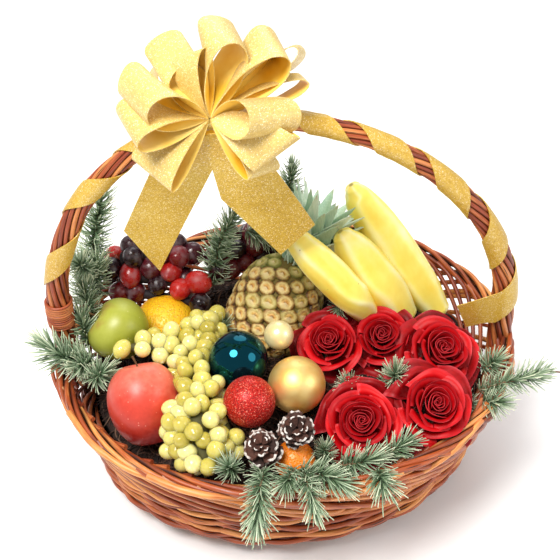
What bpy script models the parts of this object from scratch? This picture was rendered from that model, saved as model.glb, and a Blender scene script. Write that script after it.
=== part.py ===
"""Fruit and flower basket: an oval willow basket with a hoop handle, a pull bow and its whole filling.

Metres, +Z up. The origin is the middle of the base, on the surface that the basket stands on.
+X runs along the handle's span and -Y is the front.
"""

import math
import random

import bmesh
import bpy
import numpy as np
from mathutils import Matrix, Vector

GAP = 0.0003  # clear space between pieces that touch
TURN = 2 * math.pi
GOLDEN = math.pi * (3 - math.sqrt(5))

# Basket: height, half length and half width of the outer face at each level.
BASKET_LEVELS = (
    (0.000, 0.176, 0.123),
    (0.008, 0.191, 0.137),
    (0.030, 0.203, 0.159),
    (0.053, 0.206, 0.164),
    (0.105, 0.2165, 0.1765),
    (0.158, 0.2365, 0.2010),
)
BASE_SHIFT = -0.007  # the base lies this far to the left of the rim's middle
SHIFT_HEIGHT = 0.128  # height at which that shift has run out
WALL = 0.009
FLOOR = 0.009
WEAVE_TOP = 0.102
WEAVE_RELIEF = 0.0012
RIM_HEIGHT = 0.1545
RIM_ROD = 0.0055
BORDER_ROD = 0.0036
BORDER_RODS = 12
BORDER_SWEEP = math.radians(52)
BORDER_STATIONS = (0.0, 0.3, 0.65, 1.0)
# A rod's loop that stands out at the left end: turn round the basket, height and inset.
SIDE_LOOP = ((187, 0.154, 0.004), (192, 0.151, -0.003), (197, 0.135, -0.004), (203, 0.108, 0.006))
SIDE_LOOP_ROD = 0.0024

# Handle: a hoop of twisted rods in the plane y = 0.
HANDLE_HALF_SPAN = 0.224
HANDLE_SPRING = 0.208
HANDLE_RISE = 0.225
HANDLE_LEAN = 0.012
HANDLE_FOOT = 0.1165
HANDLE_RADIUS = 0.0113
HANDLE_GROOVE = 0.0018
HANDLE_LOBES = 5
HANDLE_TWISTS = 1.5
HANDLE_SLIMMING = 0.31  # how much thinner the handle is at its top than at its feet
SOCKET_RADIUS = 0.0128
SOCKET_FLOOR = 0.116

# Ribbon round the handle: handle angles at which its middle comes to the front, and the angle it covers there.
WRAP_STATIONS = (-0.42, 0.02, 0.40, 0.785, 1.10, 1.40, 1.72, 2.07, 2.43, 2.81, 3.20)
WRAP_WIDTHS = (0.19, 0.19, 0.21, 0.23, 0.20, 0.19, 0.18, 0.17, 0.17, 0.16, 0.04)
WRAP_START, WRAP_STOP = 0.90, 9.27  # in turns, counted over those stations
WRAP_STEPS = 60
WRAP_FRONT = (0.75, 0.66)  # the front of the handle looks this far forward and up
WRAP_INNER = 0.0133
WRAP_THICK = 0.0010
# The ribbon's last end, which stands off over the wall: upper and lower edge, far end first.
WRAP_END = (
    ((0.1762, -0.006, 0.2020), (0.1880, -0.004, 0.1700)),
    ((0.1945, -0.011, 0.2130), (0.2030, -0.010, 0.1800)),
)
# Cane tie at the handle's left foot.
TIE_LOW, TIE_HIGH = 0.198, 0.234
TIE_TURNS = 6
TIE_CANE = 0.0024

# Bow: its knot, and the directions that its loops are measured in.
KNOT = Vector((-0.053, -0.034, 0.459))
KNOT_SIZE = (0.012, 0.012, 0.019)  # half sizes right, up and forward
KNOT_BACK = 11  # how far the middle of the knot lies behind the loops' start, in mm
BOW_PITCH = math.radians(41.3)
BOW_ROLL = math.radians(3.0)
RIBBON_THICK = 0.0012
# Loops: tip of the front edge, ribbon width vector, half opening; right, up and forward of the knot, in mm.
BOW_LOOPS = {
    "left": ((-48, 1, 36), (-27, 34, -30), 17),
    "low_left": ((-58, -27, 26), (-22, 35, -32), 12),
    "down_left": ((-32, -62, 0), (-36, 30, -26), 8),
    "high_left": ((-25, 42, 4), (-21, 34, -29), 18),
    "inner_top": ((-3, 55, 26), (-25, -3, -30), 9),
    "top": ((24, 57, 34), (-17, 30, -34), 17),
    "high_right": ((67, 46, 20), (-13, 32, -37), 16),
    "far_right": ((74, 62, -12), (6, 6, -28), 9),
    "right": ((84, 30, 0), (-6, 11, -26), 9),
    "near_right": ((35, -8, 49), (42, 8, -28), 16),
    "low_right": ((38, -46, 10), (38, 27, 14), 9),
    "under_right": ((32, -52, 6), (26, 12, -30), 6),
    "far_left": ((-46, 44, -30), (-10, 12, -40), 9),
}
# Tails: pairs of points on the two edges of the ribbon, from the knot down to the slanted end.
BOW_TAILS = (
    (
        ((-0.068, -0.037, 0.445), (-0.052, -0.037, 0.445)),
        ((-0.0950, -0.034, 0.4349), (-0.0430, -0.034, 0.4311)),
        ((-0.1125, -0.029, 0.3990), (-0.0575, -0.029, 0.3990)),
        ((-0.1462, -0.003, 0.3180), (-0.1185, 0.004, 0.2598)),
    ),
    (
        ((-0.056, -0.037, 0.446), (-0.042, -0.037, 0.446)),
        ((-0.0590, -0.034, 0.4322), (-0.0140, -0.034, 0.4298)),
        ((-0.0500, -0.028, 0.3700), (0.0040, -0.029, 0.3930)),
        ((0.0010, -0.017, 0.2903), (0.0345, -0.017, 0.3246)),
    ),
)

# The band that ties the bow to the handle.
BAND_ANGLE = math.radians(103.9)
BAND_CLEAR = 0.0016
BAND_THICK = 0.0015
BAND_HALF = 0.006

# Packing under the fruit.
BED_TOP = 0.153
BED_EDGE = 0.108
BED_INSET = 0.0145
BED_CLEAR = 0.0075

# Round fruit and baubles: centre and radius.
ORANGE = (Vector((-0.125, 0.051, 0.139)), 0.0382)
TANGERINE = (Vector((0.004, -0.153, 0.1515)), 0.0195)
GREEN_APPLE = (Vector((-0.168, 0.006, 0.180)), 0.0335)
RED_APPLE = (Vector((-0.1395, -0.087, 0.166)), 0.0375)
BAUBLES = {
    "bauble_teal": (Vector((-0.046, -0.056, 0.191)), 0.0295, (0.02, 0.10, 0.12), 0.08),
    "bauble_red": (Vector((-0.036, -0.111, 0.190)), 0.0248, (0.60, 0.03, 0.02), 0.45),
    "bauble_gold": (Vector((0.010, -0.083, 0.180)), 0.0282, (0.80, 0.55, 0.20), 0.30),
    "bauble_pearl": (Vector((-0.005, -0.036, 0.203)), 0.0148, (0.85, 0.80, 0.60), 0.35),
}

# Pineapple: middle of the body, the way its crown points, and its sizes.
PINEAPPLE = Vector((-0.011, 0.041, 0.164))
PINEAPPLE_AXIS = Vector((0.50, 0.42, 0.76))
PINEAPPLE_HALF = 0.061
PINEAPPLE_RADIUS = 0.047
CROWN_LEAVES = 9
CROWN_REACH = 0.088
LEAF_KEEL = 0.0022

# Bananas: points along the middle of each, and the radius there.
BANANAS = {
    "banana_front": (
        ((0.020, 0.012, 0.281), 0.0135),
        ((0.034, 0.006, 0.265), 0.0175),
        ((0.052, -0.001, 0.245), 0.0188),
        ((0.070, -0.010, 0.226), 0.0180),
        ((0.082, -0.017, 0.212), 0.0125),
    ),
    "banana_middle": (
        ((0.066, 0.049, 0.255), 0.0110),
        ((0.072, 0.047, 0.245), 0.0160),
        ((0.083, 0.043, 0.227), 0.0208),
        ((0.098, 0.037, 0.204), 0.0228),
        ((0.113, 0.034, 0.179), 0.0205),
        ((0.125, 0.031, 0.160), 0.0155),
    ),
    "banana_back": (
        ((0.080, 0.101, 0.276), 0.0095),
        ((0.086, 0.100, 0.264), 0.0160),
        ((0.100, 0.092, 0.242), 0.0208),
        ((0.118, 0.082, 0.215), 0.0222),
        ((0.136, 0.070, 0.188), 0.0220),
        ((0.152, 0.060, 0.165), 0.0195),
        ((0.164, 0.051, 0.149), 0.0140),
    ),
}

# Grapes: arms of points along each bunch with the reach of its berries there; berry radius; how much
# wider than high the bunch is; colour.
GRAPES = {
    "grapes_green": (
        (
            (
                ((-0.160, -0.034, 0.195), 0.0110),
                ((-0.136, -0.030, 0.190), 0.0160),
                ((-0.110, -0.016, 0.181), 0.0200),
                ((-0.095, -0.030, 0.178), 0.0220),
                ((-0.088, -0.062, 0.181), 0.0230),
                ((-0.085, -0.095, 0.184), 0.0240),
                ((-0.085, -0.128, 0.181), 0.0265),
                ((-0.081, -0.151, 0.168), 0.0240),
                ((-0.076, -0.167, 0.152), 0.0170),
            ),
            (((-0.094, -0.020, 0.180), 0.0200), ((-0.078, 0.006, 0.182), 0.0190), ((-0.072, 0.014, 0.184), 0.0150)),
        ),
        0.0090,
        1.5,
        (0.62, 0.60, 0.25),
    ),
    "grapes_dark_left": (
        (
            (
                ((-0.170, 0.100, 0.196), 0.0250),
                ((-0.140, 0.098, 0.201), 0.0270),
                ((-0.106, 0.101, 0.196), 0.0250),
            ),
            (((-0.160, 0.086, 0.186), 0.0170), ((-0.134, 0.082, 0.187), 0.0180), ((-0.104, 0.076, 0.184), 0.0170)),
        ),
        0.0112,
        1.3,
        (0.10, 0.02, 0.03),
    ),
    "grapes_dark_right": (
        (
            (
                ((-0.062, 0.116, 0.184), 0.0250),
                ((-0.030, 0.120, 0.187), 0.0250),
                ((0.002, 0.121, 0.187), 0.0200),
            ),
            (((-0.058, 0.104, 0.176), 0.0170), ((-0.034, 0.104, 0.178), 0.0160)),
        ),
        0.0112,
        1.3,
        (0.08, 0.02, 0.03),
    ),
}
BERRY_SPACING = 1.80  # least distance between berries' middles, in berry radii
ICOSAHEDRON_SWELL = 1.06  # a twenty-sided berry of this radius takes as much room as a round one
CORE_SHARE = 0.42  # a bunch's core, as a share of its reach

# Roses: middle of the head, radius, and the way that the flower faces.
ROSES = {
    "rose_back_left": (Vector((0.045, -0.031, 0.184)), 0.0310, Vector((-0.05, -0.40, 0.92))),
    "rose_back_middle": (Vector((0.100, -0.011, 0.161)), 0.0300, Vector((0.0, -0.45, 0.89))),
    "rose_back_right": (Vector((0.156, -0.046, 0.179)), 0.0360, Vector((0.18, -0.42, 0.89))),
    "rose_front_left": (Vector((0.069, -0.131, 0.176)), 0.0350, Vector((-0.05, -0.55, 0.83))),
    "rose_front_right": (Vector((0.140, -0.121, 0.182)), 0.0352, Vector((0.15, -0.50, 0.85))),
}
# A rose's outline from its calyx, over the rim and down into the heart: radius and height, as shares.
ROSE_PROFILE = (
    (0.26, -0.88),
    (0.72, -0.56),
    (0.95, -0.06),
    (1.00, 0.24),
    (0.82, 0.30),
    (0.74, 0.10),
    (0.62, 0.42),
    (0.52, 0.20),
    (0.42, 0.50),
    (0.31, 0.26),
    (0.20, 0.52),
    (0.11, 0.30),
)

# Pine cones: foot, the way they point, radius and height.
CONES = {
    "pine_cone_left": (
        Vector((-0.024, -0.1545, 0.165)),
        Vector((-0.10, -0.35, 0.93)),
        0.0158,
        0.030,
    ),
    "pine_cone_right": (
        Vector((0.0065, -0.1455, 0.180)),
        Vector((0.05, -0.45, 0.89)),
        0.0150,
        0.027,
    ),
}

# Fir sprigs: points along the twig and the needles' reach there.
SPRIGS = {
    "fir_left_tall": (
        ((-0.202, 0.076, 0.184), 0.011),
        ((-0.194, 0.079, 0.238), 0.014),
        ((-0.174, 0.080, 0.306), 0.012),
    ),
    "fir_left_star": (((-0.196, 0.036, 0.240), 0.008), ((-0.200, 0.024, 0.258), 0.013)),
    "fir_left_dark": (((-0.205, 0.031, 0.172), 0.008), ((-0.203, 0.031, 0.224), 0.008)),
    "fir_left_outer": (
        ((-0.196, -0.024, 0.171), 0.010),
        ((-0.218, -0.032, 0.183), 0.016),
        ((-0.240, -0.026, 0.198), 0.013),
    ),
    "fir_left_rim": (((-0.194, -0.050, 0.168), 0.008), ((-0.180, -0.058, 0.185), 0.012)),
    "fir_middle_back": (
        ((-0.074, 0.075, 0.176), 0.010),
        ((-0.064, 0.079, 0.223), 0.013),
        ((-0.041, 0.080, 0.278), 0.010),
    ),
    "fir_middle_branch": (((-0.034, 0.093, 0.234), 0.009), ((-0.004, 0.098, 0.214), 0.010)),
    "fir_high_back": (
        ((0.014, 0.150, 0.183), 0.009),
        ((0.013, 0.136, 0.243), 0.011),
        ((0.018, 0.122, 0.294), 0.009),
    ),
    "fir_under_banana": (((0.056, 0.014, 0.188), 0.008), ((0.063, 0.004, 0.206), 0.009)),
    "fir_between_roses": (((0.104, -0.068, 0.148), 0.010), ((0.106, -0.086, 0.193), 0.013)),
    "fir_right_long": (
        ((0.188, -0.088, 0.164), 0.007),
        ((0.212, -0.089, 0.1745), 0.009),
        ((0.236, -0.085, 0.176), 0.012),
        ((0.252, -0.081, 0.177), 0.008),
    ),
    "fir_right_star": (((0.173, -0.084, 0.135), 0.007), ((0.178, -0.089, 0.147), 0.009)),
    "fir_front_right": (
        ((0.080, -0.150, 0.129), 0.009),
        ((0.102, -0.139, 0.129), 0.010),
        ((0.122, -0.126, 0.129), 0.009),
    ),
    "fir_front_star": (((0.079, -0.183, 0.168), 0.003), ((0.083, -0.199, 0.166), 0.013)),
    "fir_front_hanging": (
        ((-0.025, -0.178, 0.169), 0.010),
        ((-0.028, -0.198, 0.173), 0.009),
        ((-0.032, -0.2145, 0.158), 0.012),
        ((-0.036, -0.2215, 0.125), 0.013),
    ),
    "fir_front_middle": (
        ((0.010, -0.178, 0.168), 0.008),
        ((0.014, -0.197, 0.1715), 0.008),
        ((0.020, -0.2165, 0.151), 0.014),
    ),
    "fir_front_back": (((0.028, -0.168, 0.131), 0.009), ((0.054, -0.166, 0.140), 0.010)),
    "fir_front_left_star": (((-0.052, -0.168, 0.156), 0.008), ((-0.058, -0.173, 0.172), 0.012)),
    "fir_by_cone": (((0.030, -0.150, 0.144), 0.008), ((0.033, -0.153, 0.166), 0.008)),
}
NEEDLE_STEP = 0.0108
NEEDLE_LEAN = 0.006
NEEDLE_ROWS = 5
TWIG_RADIUS = 0.0020
BARE_TWIG = ((0.250, -0.081, 0.177), (0.273, -0.078, 0.172))

parts = None


def start_scene():
    """An empty scene with one collection for the parts."""
    global parts
    for old in list(bpy.data.objects):
        bpy.data.objects.remove(old, do_unlink=True)
    parts = bpy.data.collections.new("fruit_and_flower_basket")
    bpy.context.scene.collection.children.link(parts)


def plain_material(name, colour, roughness, metallic=0.0):
    material = bpy.data.materials.new(name)
    material.use_nodes = True
    shader = material.node_tree.nodes["Principled BSDF"]
    shader.inputs["Base Color"].default_value = (*colour, 1.0)
    shader.inputs["Roughness"].default_value = roughness
    shader.inputs["Metallic"].default_value = metallic
    return material


def add_part(name, mesh, material, place=None):
    part = bpy.data.objects.new(name, mesh)
    mesh.materials.clear()
    mesh.materials.append(material)
    mesh.shade_smooth()
    mesh.set_sharp_from_angle(angle=math.radians(40))
    if place is not None:
        part.matrix_world = place
    parts.objects.link(part)
    return part


def facing(axis):
    """A turn that brings +Z to this axis."""
    return axis.to_track_quat("Z", "Y").to_matrix().to_4x4()


def mesh_of(shape, name):
    bmesh.ops.recalc_face_normals(shape, faces=shape.faces)
    mesh = bpy.data.meshes.new(name)
    shape.to_mesh(mesh)
    shape.free()
    return mesh


def loft(name, rings, closed=False):
    """A closed skin through rings of points; a ring of one point is a tip."""
    shape = bmesh.new()
    rows = [[shape.verts.new(point) for point in ring] for ring in rings]
    pairs = list(zip(rows, rows[1:]))
    if closed:
        pairs.append((rows[-1], rows[0]))
    for low, high in pairs:
        count = max(len(low), len(high))
        for i in range(count):
            j = (i + 1) % count
            if len(low) == 1:
                shape.faces.new((low[0], high[j], high[i]))
            elif len(high) == 1:
                shape.faces.new((low[i], low[j], high[0]))
            else:
                shape.faces.new((low[i], low[j], high[j]))
                shape.faces.new((low[i], high[j], high[i]))
    if not closed:
        for row in (rows[0], rows[-1]):
            if len(row) > 2:
                shape.faces.new(row)
    return mesh_of(shape, name)


def ribbon(name, edges, thick, closed=False):
    """A thin strip between two edges, given as pairs of points; both faces are split alike."""
    shape = bmesh.new()
    count = len(edges)
    rows = []
    for k, (left, right) in enumerate(edges):
        before = edges[(k - 1) % count if closed else max(k - 1, 0)]
        after = edges[(k + 1) % count if closed else min(k + 1, count - 1)]
        along = (after[0] + after[1]) - (before[0] + before[1])
        offset = along.cross(right - left).normalized() * thick / 2
        corners = (left + offset, right + offset, right - offset, left - offset)
        rows.append([shape.verts.new(corner) for corner in corners])
    pairs = list(zip(rows, rows[1:]))
    if closed:
        pairs.append((rows[-1], rows[0]))
    for a, b in pairs:
        for face in (
            (a[0], a[1], b[1]),
            (a[0], b[1], b[0]),
            (a[3], b[2], a[2]),
            (a[3], b[3], b[2]),
            (a[1], a[2], b[2]),
            (a[1], b[2], b[1]),
            (a[0], b[0], b[3]),
            (a[0], b[3], a[3]),
        ):
            shape.faces.new(face)
    if not closed:
        for row in (rows[0], rows[-1]):
            shape.faces.new(row)
    return mesh_of(shape, name)


def ball(name, centre, radius, around=12, high=8):
    shape = bmesh.new()
    bmesh.ops.create_uvsphere(shape, u_segments=around, v_segments=high, radius=radius)
    bmesh.ops.translate(shape, verts=shape.verts, vec=centre)
    return mesh_of(shape, name)


def rod(name, points, radii, resolution=0):
    """A rod along points, with its own radius at each, made from a curve with filled caps."""
    curve = bpy.data.curves.new(name, "CURVE")
    curve.dimensions = "3D"
    curve.bevel_depth = 1.0
    curve.bevel_resolution = resolution
    curve.use_fill_caps = True
    spline = curve.splines.new("POLY")
    spline.points.add(len(points) - 1)
    for target, point, radius in zip(spline.points, points, radii):
        target.co = (*point, 1.0)
        target.radius = radius
    guide = bpy.data.objects.new(name + "_guide", curve)
    bpy.context.scene.collection.objects.link(guide)
    graph = bpy.context.evaluated_depsgraph_get()
    mesh = bpy.data.meshes.new_from_object(guide.evaluated_get(graph))
    bpy.data.objects.remove(guide, do_unlink=True)
    bpy.data.curves.remove(curve)
    shape = bmesh.new()
    shape.from_mesh(mesh)
    bpy.data.meshes.remove(mesh)
    bmesh.ops.remove_doubles(shape, verts=shape.verts, dist=0.00002)
    return mesh_of(shape, name)


def boolean(core, meshes, operation, solver="MANIFOLD"):
    """The core mesh joined with, or cut by, all of the others at once."""
    others = bpy.data.collections.new("pieces")
    bpy.context.scene.collection.children.link(others)
    body = bpy.data.objects.new("core", core)
    bpy.context.scene.collection.objects.link(body)
    for mesh in meshes:
        piece = bpy.data.objects.new("piece", mesh)
        piece.hide_render = True
        piece.display_type = "WIRE"
        others.objects.link(piece)
    join = body.modifiers.new("boolean", "BOOLEAN")
    join.operation = operation
    join.operand_type = "COLLECTION"
    join.collection = others
    join.solver = solver
    graph = bpy.context.evaluated_depsgraph_get()
    result = bpy.data.meshes.new_from_object(body.evaluated_get(graph))
    for used in [body, *others.objects]:
        bpy.data.objects.remove(used, do_unlink=True)
    bpy.data.collections.remove(others)
    return result


def largest(mesh):
    """The biggest body of a mesh alone: loose scraps and sealed hollows are dropped."""
    shape = bmesh.new()
    shape.from_mesh(mesh)
    left = set(shape.verts)
    bodies = []
    while left:
        body = {left.pop()}
        edge = list(body)
        while edge:
            near = {end for vert in edge for link in vert.link_edges for end in link.verts} - body
            body |= near
            edge = list(near)
        left -= body
        bodies.append(body)
    bodies.sort(key=len)
    bmesh.ops.delete(shape, geom=[vert for body in bodies[:-1] for vert in body], context="VERTS")
    return mesh_of(shape, mesh.name)


def oval(height):
    """Half length and half width of the basket's outer face at this height."""
    for (z0, a0, b0), (z1, a1, b1) in zip(BASKET_LEVELS, BASKET_LEVELS[1:]):
        if height <= z1:
            break
    t = (height - z0) / (z1 - z0)
    return a0 + (a1 - a0) * t, b0 + (b1 - b0) * t


def on_wall(angle, height, inset=0.0):
    a, b = oval(height)
    shift = BASE_SHIFT * max(0.0, 1 - height / SHIFT_HEIGHT)
    return Vector((shift + (a - inset) * math.cos(angle), (b - inset) * math.sin(angle), height))


def basket_shell():
    """The close woven lower wall and floor, hollow, with the relief of its courses."""
    around = 32
    heights = (0.0, 0.008, 0.030, 0.048, 0.066, 0.084, WEAVE_TOP)
    rings = [[(BASE_SHIFT, 0.0, 0.0)]]
    for k, height in enumerate(heights):
        relief = 0.0 if k in (0, len(heights) - 1) else WEAVE_RELIEF
        rings.append([on_wall(TURN * i / around, height, relief * (-1) ** (i + k)) for i in range(around)])
    for height in (WEAVE_TOP, 0.030, FLOOR):
        inset = WALL + (0.006 if height == FLOOR else 0.0)
        rings.append([on_wall(TURN * i / around, height, inset) for i in range(around)])
    rings.append([(BASE_SHIFT, 0.0, FLOOR)])
    return loft("basket_shell", rings)


def border_rods():
    """The open border: one set of rods sweeps down as it goes round, the other sweeps up behind it."""
    low, high = WEAVE_TOP - 0.007, RIM_HEIGHT
    pieces = []
    for inset, sense in ((0.0020, 1), (0.0098, -1)):
        for k in range(BORDER_RODS):
            start = TURN * (k + 0.25 * sense) / BORDER_RODS
            points = []
            for t in BORDER_STATIONS:
                height = high + (low - high) * t**1.3
                points.append(on_wall(start + sense * BORDER_SWEEP * t, height, inset))
            pieces.append(rod("border_rod", points, [BORDER_ROD] * len(points)))
    around = 32
    rim = []
    for k in range(around):
        centre = on_wall(TURN * k / around, RIM_HEIGHT, 0.006)
        outward = Vector((centre.x, centre.y, 0)).normalized()
        corners = [TURN * (c + 0.25) / 5 for c in range(5)]
        rim.append([centre + RIM_ROD * Vector((*(outward.xy * math.cos(c)), math.sin(c))) for c in corners])
    pieces.append(loft("rim", rim, closed=True))
    loop = [on_wall(math.radians(turn), height, inset) for turn, height, inset in SIDE_LOOP]
    pieces.append(rod("side_loop", loop, [SIDE_LOOP_ROD] * len(loop)))
    return pieces


def handle_point(angle):
    """The middle of the handle: 0 is its right spring, pi its left one; straight legs go on below."""
    turn = min(max(angle, 0.0), math.pi)
    below = (angle - turn) * HANDLE_RISE
    return Vector(
        (
            HANDLE_HALF_SPAN * math.cos(turn),
            0.0,
            HANDLE_SPRING + HANDLE_RISE * math.sin(turn) - HANDLE_LEAN * math.sin(2 * turn) - abs(below),
        )
    )


def handle_frame(angle):
    """The handle's middle, its outward side in the hoop's plane, and the way across the plane."""
    middle = handle_point(angle)
    along = (handle_point(angle + 0.01) - handle_point(angle - 0.01)).normalized()
    return middle, Vector((along.z, 0.0, -along.x)), Vector((0.0, -1.0, 0.0))


def handle_slim(angle):
    """The handle's thickness at this angle, as a share of its thickness at the feet."""
    return 1 - HANDLE_SLIMMING * math.sin(min(max(angle, 0.0), math.pi)) ** 0.8


def handle_ends():
    leg = (HANDLE_SPRING - HANDLE_FOOT) / HANDLE_RISE
    return -leg, math.pi + leg


def basket(material):
    whole = boolean(basket_shell(), border_rods(), "UNION")
    sockets = []
    for side in (0.0, math.pi):
        shape = bmesh.new()
        bmesh.ops.create_cone(
            shape, cap_ends=True, segments=20, radius1=SOCKET_RADIUS, radius2=SOCKET_RADIUS, depth=0.1
        )
        middle = Vector((handle_point(side).x, 0.0, SOCKET_FLOOR + 0.05))
        bmesh.ops.translate(shape, verts=shape.verts, vec=middle)
        sockets.append(mesh_of(shape, "socket"))
    add_part("basket", largest(boolean(whole, sockets, "DIFFERENCE")), material)


def handle(material):
    """Rods laid round a core and twisted: a lobed section swept along the hoop."""
    first, last = handle_ends()
    steps = 26
    rings = []
    for k in range(steps + 1):
        share = k / steps
        angle = first + (last - first) * share
        middle, outward, across = handle_frame(angle)
        ring = []
        for i in range(2 * HANDLE_LOBES):
            radius = (HANDLE_RADIUS - HANDLE_GROOVE * (i % 2)) * handle_slim(angle)
            turn = TURN * (i / (2 * HANDLE_LOBES) + HANDLE_TWISTS * share)
            ring.append(middle + radius * (outward * math.cos(turn) + across * math.sin(turn)))
        rings.append(ring)
    add_part("handle", loft("handle", rings), material)


def handle_ribbon(material):
    """The ribbon wound round the handle in an open spiral, its last end standing off over the wall."""
    turns = np.arange(len(WRAP_STATIONS))
    edges = [(Vector(upper), Vector(lower)) for upper, lower in WRAP_END]
    for turn in np.linspace(WRAP_START, WRAP_STOP, WRAP_STEPS):
        angle = float(np.interp(turn, turns, WRAP_STATIONS))
        reach = float(np.interp(turn, turns, WRAP_WIDTHS)) / 2
        pair = []
        for side in (1, -1):
            middle, outward, across = handle_frame(angle + side * reach)
            way = TURN * turn - math.atan2(WRAP_FRONT[0], WRAP_FRONT[1] * outward.z)
            radius = WRAP_INNER - HANDLE_RADIUS * (1 - handle_slim(angle + side * reach)) + WRAP_THICK / 2
            pair.append(middle + radius * (outward * math.cos(way) - across * math.sin(way)))
        edges.append(tuple(pair))
    add_part("handle_ribbon", ribbon("handle_ribbon", edges, WRAP_THICK), material)


def handle_tie(material):
    """Cane wound close round the left leg: a sleeve with one ridge for each turn."""
    around = 10
    inner = HANDLE_RADIUS / math.cos(math.pi / around) + 2 * GAP
    pitch = (TIE_HIGH - TIE_LOW) / TIE_TURNS
    section = [(inner, TIE_LOW)]
    for k in range(TIE_TURNS):
        low = TIE_LOW + pitch * k
        section += [(inner + TIE_CANE * 0.45, low + pitch * 0.04), (inner + TIE_CANE, low + pitch * 0.5)]
    section += [(inner + TIE_CANE * 0.45, TIE_HIGH - pitch * 0.04), (inner, TIE_HIGH)]
    rings = []
    for i in range(around):
        turn = TURN * i / around
        ring = []
        for radius, height in section:
            middle, outward, across = handle_frame(math.pi + (HANDLE_SPRING - height) / HANDLE_RISE)
            if height > HANDLE_SPRING:
                middle, outward, across = handle_frame(math.pi - (height - HANDLE_SPRING) / HANDLE_RISE)
            ring.append(middle + radius * (outward * math.cos(turn) + across * math.sin(turn)))
        rings.append(ring)
    add_part("handle_tie", loft("handle_tie", rings, closed=True), material)


def bow_space():
    """The bow's own right, up and forward directions, scaled to millimetres."""
    up = Vector((0.0, math.sin(BOW_PITCH), math.cos(BOW_PITCH)))
    side = Vector((1.0, 0.0, 0.0))
    right = side * math.cos(BOW_ROLL) - up * math.sin(BOW_ROLL)
    raised = side * math.sin(BOW_ROLL) + up * math.cos(BOW_ROLL)
    return Matrix((right, raised, right.cross(raised))).transposed() * 0.001


def bow_loop(tip, width, half_opening, space):
    """A teardrop of ribbon that leaves the knot, turns at its tip and comes back."""
    steps = 7
    tip, width = space @ Vector(tip), space @ Vector(width)
    bulge = width.cross(tip).normalized() * half_opening * 0.001
    edges = []
    for k in range(steps):
        t = (k + 0.5) / steps
        swell = math.sin(math.pi * t)
        front = KNOT + tip * (0.06 + 0.94 * (1 - math.cos(TURN * t)) / 2)
        front = front + bulge * 1.3 * math.sin(TURN * t) * swell
        edges.append((front, front + width * (0.25 + 0.75 * swell**0.8)))
    return ribbon("bow_loop", edges, RIBBON_THICK, closed=True)


def bow(material):
    space = bow_space()
    pieces = [bow_loop(*loop, space) for loop in BOW_LOOPS.values()]
    for tail in BOW_TAILS:
        pieces.append(ribbon("bow_tail", [(Vector(a), Vector(b)) for a, b in tail], RIBBON_THICK))
    middle, outward, across = handle_frame(BAND_ANGLE)
    along = outward.cross(across)
    inner = WRAP_INNER - HANDLE_RADIUS * (1 - handle_slim(BAND_ANGLE)) + WRAP_THICK + BAND_CLEAR
    outer = inner + BAND_THICK
    section = ((inner, -BAND_HALF), (outer, -BAND_HALF), (outer, BAND_HALF), (inner, BAND_HALF))
    around = 12
    rings = []
    for k in range(around):
        turn = TURN * k / around
        away = outward * math.cos(turn) + across * math.sin(turn)
        rings.append([middle + away * radius + along * place for radius, place in section])
    pieces.append(loft("bow_band", rings, closed=True))
    toward = (middle - KNOT).normalized()
    reach = (middle - KNOT).length - inner - BAND_CLEAR
    pieces.append(rod("bow_neck", [KNOT, KNOT + toward * reach], [0.007, 0.006], 1))
    shape = bmesh.new()
    bmesh.ops.create_uvsphere(shape, u_segments=10, v_segments=7, radius=1.0)
    place = Matrix.Translation(KNOT + space @ Vector((0, 0, -KNOT_BACK)))
    size = Matrix.Diagonal((*[half * 1000 for half in KNOT_SIZE], 1.0))
    bmesh.ops.transform(shape, matrix=place @ space.to_4x4() @ size, verts=shape.verts)
    add_part("bow", largest(boolean(mesh_of(shape, "bow_knot"), pieces, "UNION")), material)


def turned(name, profile, steps, material, place):
    """A turned shape: its half outline, top to bottom, with a Screw."""
    mesh = bpy.data.meshes.new(name)
    mesh.from_pydata([(x, 0.0, z) for x, z in profile], [(i, i + 1) for i in range(len(profile) - 1)], [])
    part = add_part(name, mesh, material, place)
    screw = part.modifiers.new("turn", "SCREW")
    screw.steps = screw.render_steps = steps
    screw.use_merge_vertices = True
    screw.merge_threshold = 0.0001
    return part


def apple_outline(radius, tall, points=8):
    """Half an apple: hollows at the stalk and at the eye, widest above the middle."""
    outline = []
    for k in range(points + 1):
        t = math.pi * k / points
        across = math.sin(t) * (1 + 0.10 * math.cos(t))
        dimple = 0.16 * math.exp(-((math.sin(t) / 0.35) ** 2))
        outline.append((radius * across, radius * tall * math.cos(t) * (1 - dimple)))
    outline[0] = (0.0, outline[0][1])
    outline[-1] = (0.0, outline[-1][1])
    return outline


def round_outline(radius, tall, points=8):
    outline = [(0.0, radius * tall)]
    for k in range(1, points):
        t = math.pi * k / points
        outline.append((radius * math.sin(t), radius * tall * math.cos(t)))
    outline.append((0.0, -radius * tall))
    return outline


def round_fruit():
    orange = plain_material("orange_peel", (0.90, 0.35, 0.02), 0.45)
    for name, (centre, radius), tilt in (
        ("orange", ORANGE, Vector((0.2, -0.3, 0.9))),
        ("tangerine", TANGERINE, Vector((0.0, -0.4, 0.9))),
    ):
        place = Matrix.Translation(centre) @ facing(tilt)
        turned(name, round_outline(radius, 0.97), 12, orange, place)
    green = plain_material("green_apple_skin", (0.50, 0.56, 0.12), 0.35)
    centre, radius = GREEN_APPLE
    place = Matrix.Translation(centre) @ facing(Vector((-0.75, 0.15, 0.62)))
    turned("apple_green", apple_outline(radius * 0.98, 0.95), 14, green, place)
    red = plain_material("red_apple_skin", (0.72, 0.14, 0.07), 0.30)
    centre, radius = RED_APPLE
    place = Matrix.Translation(centre) @ facing(Vector((-0.10, 0.62, 0.76)))
    turned("apple_red", apple_outline(radius * 0.93, 1.14), 14, red, place)


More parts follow.
